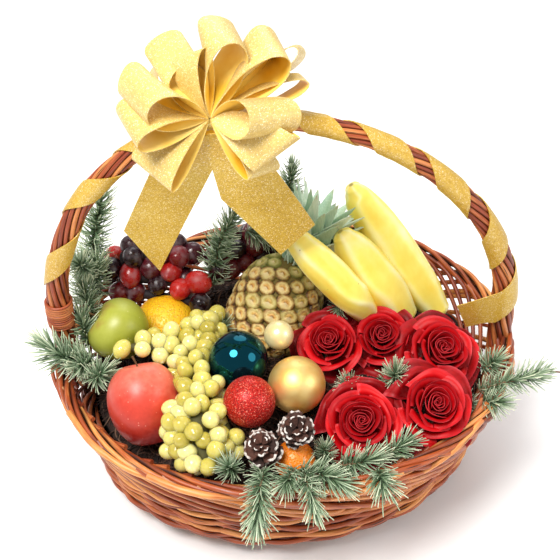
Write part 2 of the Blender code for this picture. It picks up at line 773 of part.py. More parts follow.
def baubles():
    for name, (centre, radius, colour, roughness) in BAUBLES.items():
        material = plain_material(name + "_finish", colour, roughness, 0.5)
        around, high = (10, 6) if radius < 0.02 else (12, 8)
        add_part(name, ball(name, centre, radius, around, high), material)


def crown_leaf(foot, direction, side, reach):
    """A stiff curved leaf: wide low down, pointed, thin, bent outwards."""
    rings = []
    outward = side.cross(direction).normalized()
    for t, half in ((0.0, 0.009), (0.35, 0.0085), (0.75, 0.005)):
        middle = foot + direction * reach * t + outward * reach * 0.28 * t * t
        inner, outer = middle - outward * LEAF_KEEL, middle + outward * LEAF_KEEL / 2
        rings.append([middle - side * half, inner, middle + side * half, outer])
    rings.append([foot + direction * reach + outward * reach * 0.30])
    return loft("leaf", rings)


def pineapple(material):
    """A barrel of raised eyes laid in crossing spirals, with its crown of leaves."""
    axis = PINEAPPLE_AXIS.normalized()
    turn = facing(axis).to_3x3()
    around, rows = 18, 9
    rings = [[PINEAPPLE - axis * PINEAPPLE_HALF]]
    for k in range(1, rows):
        t = k / rows
        height = PINEAPPLE_HALF * (2 * t - 1)
        girth = PINEAPPLE_RADIUS * (1 - abs(2 * t - 1.04) ** 2.6) ** 0.5
        ring = []
        for i in range(around):
            reach = girth * (1.045 if (i + k) % 2 else 0.955)
            angle = TURN * i / around
            ring.append(PINEAPPLE + turn @ Vector((reach * math.cos(angle), reach * math.sin(angle), height)))
        rings.append(ring)
    rings.append([PINEAPPLE + axis * PINEAPPLE_HALF])
    body = loft("pineapple_body", rings)
    leaves = []
    neck = PINEAPPLE + axis * (PINEAPPLE_HALF - 0.012)
    for k in range(CROWN_LEAVES):
        angle = GOLDEN * k + 0.6
        spread = 0.16 + 0.030 * k
        reach = CROWN_REACH * (1.0 - 0.035 * k)
        radial = turn @ Vector((math.cos(angle), math.sin(angle), 0.0))
        direction = (axis + radial * spread).normalized()
        side = axis.cross(radial)
        leaves.append(crown_leaf(neck + radial * 0.006, direction, side, reach))
    add_part("pineapple", largest(boolean(body, leaves, "UNION")), material)


def bananas(material):
    """Five blunt ridges, a curved back and rounded ends."""
    for name, stations in BANANAS.items():
        middles = [Vector(p) for p, r in stations]
        rings = []
        for k, (middle, (_, radius)) in enumerate(zip(middles, stations)):
            along = middles[min(k + 1, len(middles) - 1)] - middles[max(k - 1, 0)]
            turn = facing(along.normalized()).to_3x3()
            ring = []
            for i in range(10):
                reach = radius * (1.0 if i % 2 == 0 else 0.93)
                angle = TURN * i / 10 + 0.3
                ring.append(middle + turn @ Vector((reach * math.cos(angle), reach * math.sin(angle), 0.0)))
            rings.append(ring)
        ends = []
        for end, inner, radius in ((0, 1, stations[0][1]), (-1, -2, stations[-1][1])):
            away = (middles[end] - middles[inner]).normalized()
            ends.append([middles[end] + away * radius * 0.55])
        add_part(name, loft(name, [ends[0], *rings, ends[1]]), material)


def along_path(stations, share):
    """Point, reach and direction at a share of a path given by (point, reach) stations."""
    points = [Vector(p) for p, r in stations]
    lengths = [(b - a).length for a, b in zip(points, points[1:])]
    target = share * sum(lengths)
    for k, length in enumerate(lengths):
        if target <= length or k == len(lengths) - 1:
            break
        target -= length
    t = target / length
    reach = stations[k][1] + (stations[k + 1][1] - stations[k][1]) * t
    return points[k].lerp(points[k + 1], t), reach, (points[k + 1] - points[k]).normalized()


def neighbours():
    """Balls that fill the pieces laid before the grapes, to keep the berries clear of them."""
    balls = [ORANGE, TANGERINE, GREEN_APPLE, RED_APPLE]
    balls.append((RED_APPLE[0] + Vector((-0.001, 0.004, 0.006)), 0.0375))
    balls += [(centre, radius) for centre, radius, *_ in BAUBLES.values()]
    axis = PINEAPPLE_AXIS.normalized()
    balls += [(PINEAPPLE + axis * s, r) for s, r in ((-0.025, 0.043), (0.0, 0.050), (0.025, 0.043))]
    for stations in BANANAS.values():
        balls += [(Vector(p), r) for p, r in stations]
    balls += [(centre, radius) for centre, radius, _ in ROSES.values()]
    balls += [(foot + way.normalized() * high * 0.5, radius) for foot, way, radius, high in CONES.values()]
    return balls


def inside_basket(point, radius):
    if point.z > RIM_HEIGHT + 0.010 + radius:
        return True
    a, b = oval(min(max(point.z - radius * 0.5, 0.0), BASKET_LEVELS[-1][0]))
    clear = 0.0145 + radius
    return (point.x / (a - clear)) ** 2 + (point.y / (b - clear)) ** 2 <= 1


def berry_places(arms, berry, widening, taken):
    """Places for berries all over a bunch, evenly apart and clear of everything laid before."""
    places = []
    tries = 900
    for k in range(tries * len(arms)):
        share = (k * 0.754878) % 1.0
        angle = GOLDEN * k
        middle, reach, along = along_path(arms[k // tries], share)
        side = along.cross(Vector((0, 0, 1))).normalized()
        rise = side.cross(along)
        out = side * math.cos(angle) + rise * math.sin(angle)
        if share < 0.04 or share > 0.96:
            out = (out * 0.6 + along * (0.8 if share > 0.5 else -0.8)).normalized()
        if out.z < -0.30:
            continue
        off = out * (reach - berry)
        spot = middle + off + side * off.dot(side) * (widening - 1)
        if not inside_basket(spot, berry):
            continue
        if any((spot - other).length < BERRY_SPACING * berry for other in places):
            continue
        if any((spot - centre).length < berry + radius + GAP for centre, radius in taken):
            continue
        places.append(spot)
    return places


def grapes():
    """Each bunch is a core with its berries fused on."""
    taken = neighbours()
    for stations in SPRIGS.values():
        taken += [along_path(stations, share)[:2] for share in (0.0, 0.25, 0.5, 0.75, 1.0)]
    for name, (arms, berry, widening, colour) in GRAPES.items():
        places = berry_places(arms, berry, widening, taken)
        taken += [(spot, berry) for spot in places]
        cores = []
        for stations in arms:
            points = [Vector(p) for p, r in stations]
            reaches = [max(r * CORE_SHARE, r - berry * 1.35) for p, r in stations]
            cores.append(rod(name + "_core", points, reaches, 1))
        core, *berries = cores
        shake = random.Random(name)
        for spot in places:
            shape = bmesh.new()
            bmesh.ops.create_icosphere(shape, subdivisions=1, radius=berry * ICOSAHEDRON_SWELL)
            spin = Matrix.Rotation(shake.uniform(0, TURN), 4, (0.4, 0.3, 0.8))
            bmesh.ops.transform(shape, matrix=Matrix.Translation(spot) @ spin, verts=shape.verts)
            berries.append(mesh_of(shape, "berry"))
        whole = largest(boolean(core, berries, "UNION"))
        add_part(name, whole, plain_material(name + "_skin", colour, 0.25))


def roses(material):
    """Petals as rings of ridges that wind in to the heart of the flower."""
    around = 10
    for number, (name, (centre, radius, way)) in enumerate(ROSES.items()):
        turn = facing(way.normalized()).to_3x3()
        rings = [[centre + turn @ Vector((0, 0, -radius))]]
        for k, (share, height) in enumerate(ROSE_PROFILE):
            ring = []
            for i in range(around):
                angle = TURN * i / around
                wave = 1 + 0.05 * math.sin(3 * angle + 1.9 * k + number) - 0.05
                lift = 0.05 * math.cos(4 * angle + 2.3 * k + number)
                reach = radius * share * wave
                spot = Vector((reach * math.cos(angle), reach * math.sin(angle), radius * (height + lift)))
                ring.append(centre + turn @ spot)
            rings.append(ring)
        rings.append([centre + turn @ Vector((0, 0, radius * 0.40))])
        add_part(name, loft(name, rings), material)


def pine_cones(material):
    """Rings of scales that open away from the stalk, each ring turned against the last."""
    scales, rows = 6, 4
    for name, (foot, way, radius, high) in CONES.items():
        turn = facing(way.normalized()).to_3x3()
        rings = [[foot]]
        for k in range(rows):
            t = (k + 0.5) / rows
            girth = radius * math.sin(math.pi * (0.18 + 0.74 * t)) ** 0.8
            for out, lift in ((1.0, 0.10), (0.55, 0.17)):
                ring = []
                for i in range(2 * scales):
                    tip = i % 2 == k % 2
                    reach = girth * (out if tip else min(out, 0.62))
                    angle = TURN * i / (2 * scales)
                    rise = high * (t + (lift if tip or out < 1 else 0.0))
                    spot = Vector((reach * math.cos(angle), reach * math.sin(angle), rise))
                    ring.append(foot + turn @ spot)
                rings.append(ring)
        rings.append([foot + turn @ Vector((0, 0, high * 1.12))])
        add_part(name, loft(name, rings), material)


def sprig(name, stations):
    """A twig thick with needles: rows of spikes that lean to its tip, each row turned against the last."""
    length = sum((Vector(b) - Vector(a)).length for (a, _), (b, _) in zip(stations, stations[1:]))
    rows = max(2, round(length / NEEDLE_STEP))
    rings = []
    for k in range(rows + 1):
        share = k / rows
        middle, reach, along = along_path(stations, share)
        turn = facing(along).to_3x3()
        ring = []
        for i in range(2 * NEEDLE_ROWS):
            needle = i % 2 == k % 2
            radius = reach if needle else TWIG_RADIUS
            angle = TURN * (i + 0.3 * k) / (2 * NEEDLE_ROWS)
            lean = NEEDLE_LEAN if needle else 0.0
            ring.append(middle + turn @ Vector((radius * math.cos(angle), radius * math.sin(angle), lean)))
        rings.append(ring)
    tip, reach, along = along_path(stations, 1.0)
    foot, _, down = along_path(stations, 0.0)
    rings.insert(0, [foot - down * 0.004])
    rings.append([tip + along * (NEEDLE_LEAN + reach * 0.35)])
    return loft(name, rings)


def sprigs(material):
    for name, stations in SPRIGS.items():
        mesh = sprig(name, stations)
        if name == "fir_right_long":
            mesh = boolean(mesh, [rod("bare_twig", BARE_TWIG, [0.0016, 0.0010])], "UNION")
        add_part(name, mesh, material)


def packing_bed(material):
    """Shredded packing that fills the basket under the fruit, pressed down where a piece lies on it."""
    balls = neighbours()
    for arms, *_ in GRAPES.values():
        balls += [(Vector(p), r) for stations in arms for p, r in stations]
    for stations in SPRIGS.values():
        balls += [(Vector(p), r) for p, r in stations]
    around, rows = 26, 7

    def top(x, y, cap):
        height = cap
        for centre, radius in balls:
            flat = math.hypot(x - centre.x, y - centre.y)
            reach = radius + BED_CLEAR
            if flat < reach:
                height = min(height, centre.z - math.sqrt(reach * reach - flat * flat))
        return max(height, 0.04)

    a, b = oval(WEAVE_TOP)
    rings = [[(0.0, 0.0, FLOOR + 0.001)]]
    for height in (FLOOR + 0.001, 0.050):
        inset = BED_INSET + (0.010 if height < 0.02 else 0.0)
        rings.append(
            [
                on_wall(TURN * i / around, height, inset)
                for i in range(around)
            ]
        )
    for k in range(rows):
        share = 1 - k / rows
        ring = []
        for i in range(around):
            angle = TURN * i / around
            x, y = (a - BED_INSET) * share * math.cos(angle), (b - BED_INSET) * share * math.sin(angle)
            cap = BED_EDGE + (BED_TOP - BED_EDGE) * min(1.0, 2.5 * (1 - share))
            cap += 0.002 * math.sin(5 * angle + 2 * k)
            ring.append((x, y, top(x, y, cap)))
        rings.append(ring)
    rings.append([(0.0, 0.0, top(0.0, 0.0, BED_TOP))])
    add_part("packing_bed", loft("packing_bed", rings), material)


def main():
    start_scene()
    willow = plain_material("willow", (0.50, 0.20, 0.07), 0.55)
    dark_willow = plain_material("dark_willow", (0.26, 0.07, 0.03), 0.50)
    gold = plain_material("gold_ribbon", (0.72, 0.52, 0.12), 0.40, 0.3)
    basket(willow)
    packing_bed(plain_material("packing", (0.07, 0.03, 0.02), 0.9))
    handle(dark_willow)
    handle_ribbon(gold)
    handle_tie(dark_willow)
    bow(gold)
    round_fruit()
    baubles()
    pineapple(plain_material("pineapple_skin", (0.52, 0.36, 0.13), 0.60))
    bananas(plain_material("banana_skin", (0.90, 0.68, 0.06), 0.40))
    grapes()
    roses(plain_material("rose_petal", (0.55, 0.01, 0.02), 0.50))
    pine_cones(plain_material("cone_scale", (0.12, 0.06, 0.04), 0.70))
    sprigs(plain_material("fir_needle", (0.22, 0.34, 0.24), 0.60))


main()
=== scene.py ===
"""Looks of the fruit and flower basket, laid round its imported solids.

Metres, +Z up, in the solids' own frame: +X runs along the handle's span and -Y is the front.
Helpers come first, then the camera and lights, then one section for each kind of piece.
"""

import math
import random

import bmesh
import bpy
import numpy as np
from mathutils import Color, Matrix, Vector, kdtree, noise


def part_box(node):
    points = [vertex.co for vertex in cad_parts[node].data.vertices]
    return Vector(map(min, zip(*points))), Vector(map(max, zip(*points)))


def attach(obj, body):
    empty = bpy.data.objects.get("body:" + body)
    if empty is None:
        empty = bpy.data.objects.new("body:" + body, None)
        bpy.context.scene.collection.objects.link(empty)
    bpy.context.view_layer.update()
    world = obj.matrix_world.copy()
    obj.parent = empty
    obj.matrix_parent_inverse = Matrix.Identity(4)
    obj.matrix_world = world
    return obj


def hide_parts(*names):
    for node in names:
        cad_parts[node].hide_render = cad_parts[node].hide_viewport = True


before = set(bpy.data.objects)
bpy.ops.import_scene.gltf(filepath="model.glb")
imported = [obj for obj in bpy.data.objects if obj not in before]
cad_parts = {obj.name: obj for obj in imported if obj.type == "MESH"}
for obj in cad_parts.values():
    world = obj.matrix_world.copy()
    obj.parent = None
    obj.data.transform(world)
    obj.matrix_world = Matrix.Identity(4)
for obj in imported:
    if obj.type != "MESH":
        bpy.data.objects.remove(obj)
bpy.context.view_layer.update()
TURN = 2 * math.pi
GOLDEN = math.pi * (3 - math.sqrt(5))


# ---------------------------------------------------------------- node trees


class Wire:
    """A socket of a node tree. Arithmetic on it adds Math nodes."""

    def __init__(self, graph, socket):
        self.graph = graph
        self.socket = socket

    def other(self, name):
        return Wire(self.graph, self.socket.node.outputs[name])

    def __add__(self, value):
        return self.graph.math("ADD", self, value)

    def __radd__(self, value):
        return self.graph.math("ADD", value, self)

    def __sub__(self, value):
        return self.graph.math("SUBTRACT", self, value)

    def __rsub__(self, value):
        return self.graph.math("SUBTRACT", value, self)

    def __mul__(self, value):
        return self.graph.math("MULTIPLY", self, value)

    def __rmul__(self, value):
        return self.graph.math("MULTIPLY", value, self)

    def __pow__(self, value):
        return self.graph.math("POWER", self, value)


class Graph:
    """A node tree in which one call makes one node."""

    def __init__(self, tree):
        self.tree = tree

    def add(self, kind, settings=None, inputs=None, out=0):
        """Adds a node with these settings and inputs; "stops" are the places and colours of a ramp."""
        node = self.tree.nodes.new(kind)
        for key, value in (settings or {}).items():
            if key == "stops":
                ramp = node.color_ramp
                for place, colour in value[2:]:
                    ramp.elements.new(place)
                for element, (place, colour) in zip(ramp.elements, sorted(value)):
                    element.position = place
                    element.color = colour
            else:
                setattr(node, key, value)
        for key, value in (inputs or {}).items():
            self.join(value, node.inputs[key])
        return Wire(self, node.outputs[out])

    def math(self, operation, *values):
        return self.add("ShaderNodeMath", {"operation": operation}, dict(enumerate(values)))

    def join(self, value, socket):
        """Links a wire to a socket, or sets the socket to a plain value."""
        if isinstance(value, Wire):
            self.tree.links.new(value.socket, socket)
        else:
            socket.default_value = value


def tint(code):
    """The colour that a six-digit code stands for, as light."""
    parts = [int(code[i : i + 2], 16) / 255 for i in (0, 2, 4)]
    return (*Color(parts).from_srgb_to_scene_linear(), 1.0)


class Finish(Graph):
    """A material. Patterns are wires; dress() sets them on its one shader."""

    def __init__(self, name):
        self.material = bpy.data.materials.new(name)
        self.material.use_nodes = True
        super().__init__(self.material.node_tree)
        self.shader = self.tree.nodes["Principled BSDF"]

    def place(self):
        return self.add("ShaderNodeTexCoord", out="Object")

    def mark(self, name, out="Fac"):
        return self.add("ShaderNodeAttribute", {"attribute_name": name}, out=out)

    def stretched(self, scales):
        """The place of each point, stretched along the axes."""
        return self.add("ShaderNodeVectorMath", {"operation": "MULTIPLY"}, {0: self.place(), 1: scales})

    def cloud(self, scale, vector=None, detail=3.0):
        inputs = {"Vector": vector or self.place(), "Scale": scale, "Detail": detail}
        return self.add("ShaderNodeTexNoise", None, inputs)

    def cells(self, scale, vector=None, out=0):
        inputs = {"Vector": vector or self.place(), "Scale": scale}
        return self.add("ShaderNodeTexVoronoi", None, inputs, out)

    def flakes(self, scale):
        """Small cells with three numbers drawn for each: the red, green and blue of its colour."""
        return self.add("ShaderNodeSeparateColor", None, {0: self.cells(scale, out="Color")})

    def level(self, value, low, high, bottom=0.0, top=1.0):
        limits = {"From Min": low, "From Max": high, "To Min": bottom, "To Max": top}
        return self.add("ShaderNodeMapRange", None, {"Value": value, **limits}, "Result")

    def ramp(self, value, *stops):
        coloured = [(place, tint(code)) for place, code in stops]
        return self.add("ShaderNodeValToRGB", {"stops": coloured}, {0: value})

    def mix(self, share, first, second):
        first, second = [tint(c) if isinstance(c, str) else c for c in (first, second)]
        return self.add("ShaderNodeMix", {"data_type": "RGBA"}, {0: share, 6: first, 7: second}, 2)

    def dress(self, colour, roughness, relief=(), **others):
        """The material with these on its shader; relief is its height, strength and depth."""
        inputs = {"Base Color": colour, "Roughness": roughness}
        inputs.update({name.replace("_", " ").title(): value for name, value in others.items()})
        if relief:
            bump = dict(zip(("Height", "Strength", "Distance"), relief))
            inputs["Normal"] = self.add("ShaderNodeBump", None, bump, "Normal")
        for name, value in inputs.items():
            self.join(value, self.shader.inputs[name])
        return self.material


def mottled(name, scale, colours, roughness, metallic=0.0, edges=(), relief=()):
    """A plain material of two colours in soft patches.

    Edges are the levels between which the patches change over, and relief is its scale, strength and depth.
    """
    finish = Finish(name)
    patches = finish.cloud(scale)
    if edges:
        patches = finish.level(patches, *edges)
    if relief:
        relief = (finish.cloud(relief[0]), *relief[1:])
    return finish.dress(finish.mix(patches, *colours), roughness, relief, metallic=metallic)


class Grower(Graph):
    """A Geometry Nodes tree with named inputs, which is grown on a mesh into a plain mesh."""

    def __init__(self, name, source=False, **numbers):
        super().__init__(bpy.data.node_groups.new(name, "GeometryNodeTree"))
        self.input("Geometry", "Geometry")
        if source:
            self.input("source", "Object")
        for label, value in numbers.items():
            self.input(label, "Float" if isinstance(value, float) else "Int").default_value = value
        self.input("finish", "Material")
        self.tree.interface.new_socket("Geometry", in_out="OUTPUT", socket_type="NodeSocketGeometry")
        self.start = self.tree.nodes.new("NodeGroupInput")

    def input(self, label, kind):
        return self.tree.interface.new_socket(label, in_out="INPUT", socket_type="NodeSocket" + kind)

    def given(self, name):
        return Wire(self, self.start.outputs[name])

    def stored(self, geometry, name, value, domain="POINT", kind="FLOAT"):
        inputs = {"Geometry": geometry, "Name": name, "Value": value}
        return self.add("GeometryNodeStoreNamedAttribute", {"data_type": kind, "domain": domain}, inputs)

    def named(self, name, kind="FLOAT"):
        return self.add("GeometryNodeInputNamedAttribute", {"data_type": kind}, {"Name": name}, "Attribute")

    def chance(self, low, high, seed):
        """A number drawn for each element; the float sockets of the node come second."""
        inputs = {2: low, 3: high, "Seed": seed}
        return self.add("FunctionNodeRandomValue", {"data_type": "FLOAT"}, inputs, 1)

    def aimed(self, axis, vector, rotation=None, **settings):
        """A turn that brings this axis to the vector, on top of a rotation if one is given."""
        turn = self.add("FunctionNodeAlignRotationToVector", {"axis": axis, **settings}, {"Vector": vector})
        if rotation is not None:
            self.join(rotation, turn.socket.node.inputs["Rotation"])
        return turn

    def turned(self, rotation, axis, angle):
        spin = self.add("FunctionNodeAxisAngleToRotation", None, {"Axis": axis, "Angle": angle})
        inputs = {"Rotation": rotation, "Rotate By": spin}
        return self.add("FunctionNodeRotateRotation", {"rotation_space": "LOCAL"}, inputs)

    def line(self):
        """The edges of the mesh it grows on, as smooth curves."""
        curve = self.add("GeometryNodeMeshToCurve", None, {"Mesh": self.given("Geometry")})
        return self.add("GeometryNodeCurveSplineType", {"spline_type": "CATMULL_ROM"}, {"Curve": curve})

    def arc(self, steps, start, middle, end):
        inputs = {"Resolution": steps, "Start": start, "Middle": middle, "End": end}
        return self.add("GeometryNodeCurveQuadraticBezier", None, inputs)

    def ring(self, sides, radius=1.0):
        return self.add("GeometryNodeCurvePrimitiveCircle", None, {"Resolution": sides, "Radius": radius})

    def tube(self, curve, ring, scale=1.0):
        inputs = {"Curve": curve, "Profile Curve": ring, "Scale": scale, "Fill Caps": True}
        return self.add("GeometryNodeCurveToMesh", None, inputs)

    def repeated(self, points, source, rotation, scale, tone):
        """Copies of a source on points, each with its own tone."""
        inputs = {"Points": points, "Instance": source, "Rotation": rotation, "Scale": scale}
        return self.stored(self.add("GeometryNodeInstanceOnPoints", None, inputs), "tone", tone, "INSTANCE")

    def end(self, geometry):
        """Closes the tree: real, smooth geometry in the finish it is given."""
        plain = self.add("GeometryNodeRealizeInstances", None, {"Geometry": geometry})
        smoothed = self.add("GeometryNodeSetShadeSmooth", None, {"Geometry": plain})
        inputs = {"Geometry": smoothed, "Material": self.given("finish")}
        painted = self.add("GeometryNodeSetMaterial", None, inputs)
        self.join(painted, self.tree.nodes.new("NodeGroupOutput").inputs[0])
        return self

    def grow(self, guide, **inputs):
        """The mesh that the tree makes of this guide, which is used up."""
        holder = bpy.data.objects.new("guide", guide)
        bpy.context.scene.collection.objects.link(holder)
        modifier = holder.modifiers.new("grow", "NODES")
        modifier.node_group = self.tree
        for item in self.tree.interface.items_tree:
            if item.name in inputs:
                modifier[item.identifier] = inputs[item.name]
        graph = bpy.context.evaluated_depsgraph_get()
        mesh = bpy.data.meshes.new_from_object(holder.evaluated_get(graph))
        bpy.data.objects.remove(holder, do_unlink=True)
        bpy.data.meshes.remove(guide)
        return mesh


# ---------------------------------------------------------------- mesh helpers


class Mould:
    """Gathers points, faces and marks, and makes one mesh of them."""

    def __init__(self, *marks):
        self.points, self.faces, self.slots = [], [], []
        self.marks = {name: [] for name in marks}
        self.count = 0

    def put(self, points, faces, slots=0, **marks):
        points = np.asarray(points, float).reshape(-1, 3)
        self.points.append(points)
        self.faces += [np.asarray(part) + self.count for part in faces]
        slots = np.broadcast_to(slots, len(faces))
        self.slots += [np.full(len(part), slot) for part, slot in zip(faces, slots)]
        for name, column in self.marks.items():
            values = np.asarray(marks.get(name, 0.0), float).ravel()
            column.append(np.broadcast_to(values, len(points)))
        self.count += len(points)

    def mesh(self, name, finishes, sharp=50):
        mesh = bpy.data.meshes.new(name)
        points = np.concatenate(self.points)
        sizes = np.concatenate([np.full(len(part), part.shape[1]) for part in self.faces])
        corners = np.concatenate([part.ravel() for part in self.faces])
        mesh.vertices.add(len(points))
        mesh.vertices.foreach_set("co", points.astype(np.float32).ravel())
        mesh.loops.add(len(corners))
        mesh.loops.foreach_set("vertex_index", corners.astype(np.int32))
        mesh.polygons.add(len(sizes))
        mesh.polygons.foreach_set("loop_start", (np.cumsum(sizes) - sizes).astype(np.int32))
        for finish in finishes:
            mesh.materials.append(finish)
        mesh.polygons.foreach_set("material_index", np.concatenate(self.slots).astype(np.int32))
        mesh.update(calc_edges=True)
        for label, column in self.marks.items():
            mark_points(mesh, label, np.concatenate(column))
        mesh.validate()
        mesh.shade_smooth()
        mesh.set_sharp_from_angle(angle=math.radians(sharp))
        return mesh


def mark_points(mesh, name, values):
    """Gives each point of a mesh its own number under this name."""
    marks = mesh.attributes.new(name, "FLOAT", "POINT")
    marks.data.foreach_set("value", np.asarray(values, np.float32))


def grid_faces(rows, columns, round_rows=False, round_columns=False):
    """Four-cornered faces over rows and columns of points, joined up where they run round."""
    r = np.arange(rows if round_rows else rows - 1)
    c = np.arange(columns if round_columns else columns - 1)
    r, c = np.meshgrid(r, c, indexing="ij")
    below, beside = (r + 1) % rows, (c + 1) % columns
    corners = (r * columns + c, r * columns + beside, below * columns + beside, below * columns + c)
    return np.stack([corner.ravel() for corner in corners], 1)


def skin(mould, rings, slots=0, **marks):
    """A closed body through rings of points, anticlockwise seen from its end; both ends get a cap."""
    rings = np.asarray(rings, float)
    rows, columns = rings.shape[:2]
    caps = np.stack([rings[0].mean(0), rings[-1].mean(0)])
    points = np.concatenate([rings.reshape(-1, 3), caps])
    around = np.arange(columns)
    after = (around + 1) % columns
    first = np.stack([after, around, np.full(columns, rows * columns)], 1)
    top = (rows - 1) * columns
    last = np.stack([top + around, top + after, np.full(columns, rows * columns + 1)], 1)
    full = {}
    for name, values in marks.items():
        values = np.broadcast_to(values, (rows, columns)).astype(float)
        full[name] = np.append(values.ravel(), (values[0].mean(), values[-1].mean()))
    mould.put(points, [grid_faces(rows, columns, round_columns=True), first, last], slots, **full)


def sheet(mould, grid, thick, slots=(0, 0, 0), closed=False, flip=False, **marks):
    """A thin closed body from rows and columns of points: its face, back and rim take their own slots."""
    grid = np.asarray(grid, float)
    rows, columns = grid.shape[:2]
    if closed:
        down = np.roll(grid, -1, 0) - np.roll(grid, 1, 0)
    else:
        down = np.gradient(grid, axis=0)
    out = np.cross(down, np.gradient(grid, axis=1))
    out /= np.maximum(np.linalg.norm(out, axis=2, keepdims=True), 1e-12)
    if flip:
        out = -out
    offset = out * np.broadcast_to(np.asarray(thick, float), (rows, columns))[..., None] / 2
    points = np.concatenate([(grid + offset).reshape(-1, 3), (grid - offset).reshape(-1, 3)])
    face = grid_faces(rows, columns, round_rows=closed)
    if not flip:
        face = face[:, ::-1]
    under = rows * columns
    down_left = np.arange(rows) * columns
    lines = [(down_left, flip), (down_left + columns - 1, not flip)]
    if not closed:
        across_top = np.arange(columns)
        lines += [(across_top, not flip), (across_top + (rows - 1) * columns, flip)]
    faces = [face, face[:, ::-1] + under]
    for number, (line, turned_over) in enumerate(lines):
        runs_round = closed and number < 2
        starts = line if runs_round else line[:-1]
        ends = np.roll(line, -1) if runs_round else line[1:]
        rim = np.stack([starts, ends, ends + under, starts + under], 1)
        faces.append(rim[:, ::-1] if turned_over else rim)
    full = {name: np.tile(np.broadcast_to(v, (rows, columns)).ravel(), 2) for name, v in marks.items()}
    mould.put(points, faces, [slots[0], slots[1]] + [slots[2]] * len(lines), **full)


def smooth(points, steps):
    """Points on a Catmull-Rom curve through these, with so many steps to each stretch."""
    points = np.asarray(points, float)
    ends = [2 * points[0] - points[1], *points, 2 * points[-1] - points[-2]]
    found = []
    for a, b, c, d in zip(ends, ends[1:], ends[2:], ends[3:]):
        for t in np.arange(steps) / steps:
            curved = (2 * a - 5 * b + 4 * c - d) * t**2 + (3 * b - a - 3 * c + d) * t**3
            found.append(0.5 * (2 * b + (c - a) * t + curved))
    return np.array([*found, points[-1]])


def circle(count):
    """The angles of so many points, evenly round a circle."""
    return [TURN * k / count for k in range(count)]


def between(first, last, count):
    """So many points on the straight line from the first to the last."""
    return [first.lerp(last, c) for c in np.linspace(0, 1, count)]


def in_metres(stations):
    """Stations given in mm as x, y, z and reach: a place and a reach for each, in metres."""
    return [((x / 1000, y / 1000, z / 1000), reach / 1000) for x, y, z, reach in stations]


def waver(rng, lows, size):
    """A smooth wandering function of an angle, which closes on itself, with peaks of about this size."""
    terms = [(k, rng.uniform(0, TURN), rng.uniform(0.5, 1.0)) for k in lows]
    scale = size / sum(weight for _, _, weight in terms) * 1.6
    return lambda angle: scale * sum(weight * math.sin(k * angle + start) for k, start, weight in terms)


def facing(axis):
    """A turn that brings +Z to this axis."""
    return Vector(axis).normalized().to_track_quat("Z", "Y").to_matrix()


def middle_of(node):
    low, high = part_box(node)
    return (low + high) / 2


def size_of(node):
    low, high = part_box(node)
    return high - low


def polar(turn, reach, angle, height=0.0):
    """A place so far from a turned axis, at this angle round it and this height along it."""
    return turn @ Vector((reach * math.cos(angle), reach * math.sin(angle), height))


def some_way(rng, reach):
    """A small drawn offset, up to this reach along each axis."""
    return Vector([rng.uniform(-reach, reach) for _ in range(3)])


def turned(mould, outline, centre, axis, around, lobes=None, slots=0, **marks):
    """A round body from its half outline, bottom to top, with lobes(angle, height) as a swelling."""
    turn = facing(axis)
    rings = []
    for k, (radius, height) in enumerate(outline):
        ring = []
        for angle in circle(around):
            reach = radius * (1 + (lobes(angle, k / (len(outline) - 1)) if lobes else 0.0))
            ring.append(centre + polar(turn, reach, angle, height))
        rings.append(ring)
    skin(mould, rings, slots, **marks)


def ball_outline(radius, tall=1.0, rows=34):
    """Half a ball, bottom to top."""
    angles = [math.pi * k / rows for k in range(rows + 1)]
    return [(radius * math.sin(angle), -radius * tall * math.cos(angle)) for angle in angles]


def heights_of(outline, reach, around):
    """How high each point of a turned body stands, from 0 at the bottom to 1 at the top."""
    return [[(height / reach + 1) / 2] * around for _, height in outline]


class Paths:
    """Lines that rods follow, gathered in one mesh; each has its tone, and each point its radius."""

    def __init__(self):
        self.points, self.edges, self.radii, self.tones = [], [], [], []

    def run(self, points, radius, tone, closed=False):
        first, count = len(self.points), len(points)
        self.points += [tuple(p) for p in points]
        self.edges += [(first + k, first + k + 1) for k in range(count - 1)]
        if closed:
            self.edges.append((first + count - 1, first))
        self.radii += list(np.broadcast_to(radius, count))
        self.tones += [tone] * count

    def mesh(self):
        mesh = bpy.data.meshes.new("paths")
        mesh.from_pydata(self.points, self.edges, [])
        mark_points(mesh, "thick", self.radii)
        mark_points(mesh, "tone", self.tones)
        return mesh


def rod_grower():
    """Rods along lines: round, smooth, with the marks that grain follows."""
    tree = Grower("rods_along_lines", sides=8, steps=3)
    inputs = {"Geometry": tree.line(), "Resolution": tree.given("steps")}
    curve = tree.add("GeometryNodeSetSplineResolution", None, inputs)
    curve = tree.stored(curve, "along", tree.add("GeometryNodeSplineParameter", out="Length"))
    ring = tree.ring(tree.given("sides"))
    ring = tree.stored(ring, "ring", tree.add("GeometryNodeInputPosition"), kind="FLOAT_VECTOR")
    return tree.end(tree.tube(curve, ring, tree.named("thick")))


ROD_TREE = rod_grower()


def rods(paths, finish, sides=8, steps=3):
    mesh = ROD_TREE.grow(paths.mesh(), sides=sides, steps=steps, finish=finish)
    mesh.set_sharp_from_angle(angle=math.radians(65))
    return mesh


def copy_grower():
    """Copies of one small mesh on points, each turned and stood up its own way, with its size and tone."""
    tree = Grower("copies_on_points", source=True)
    source = tree.add("GeometryNodeObjectInfo", None, {"Object": tree.given("source")}, "Geometry")
    turn = tree.aimed("Z", tree.named("way", "FLOAT_VECTOR"))
    turn = tree.aimed("Y", tree.named("stand", "FLOAT_VECTOR"), rotation=turn, pivot_axis="Z")
    size = tree.named("size", "FLOAT_VECTOR")
    return tree.end(tree.repeated(tree.given("Geometry"), source, turn, size, tree.named("tone")))


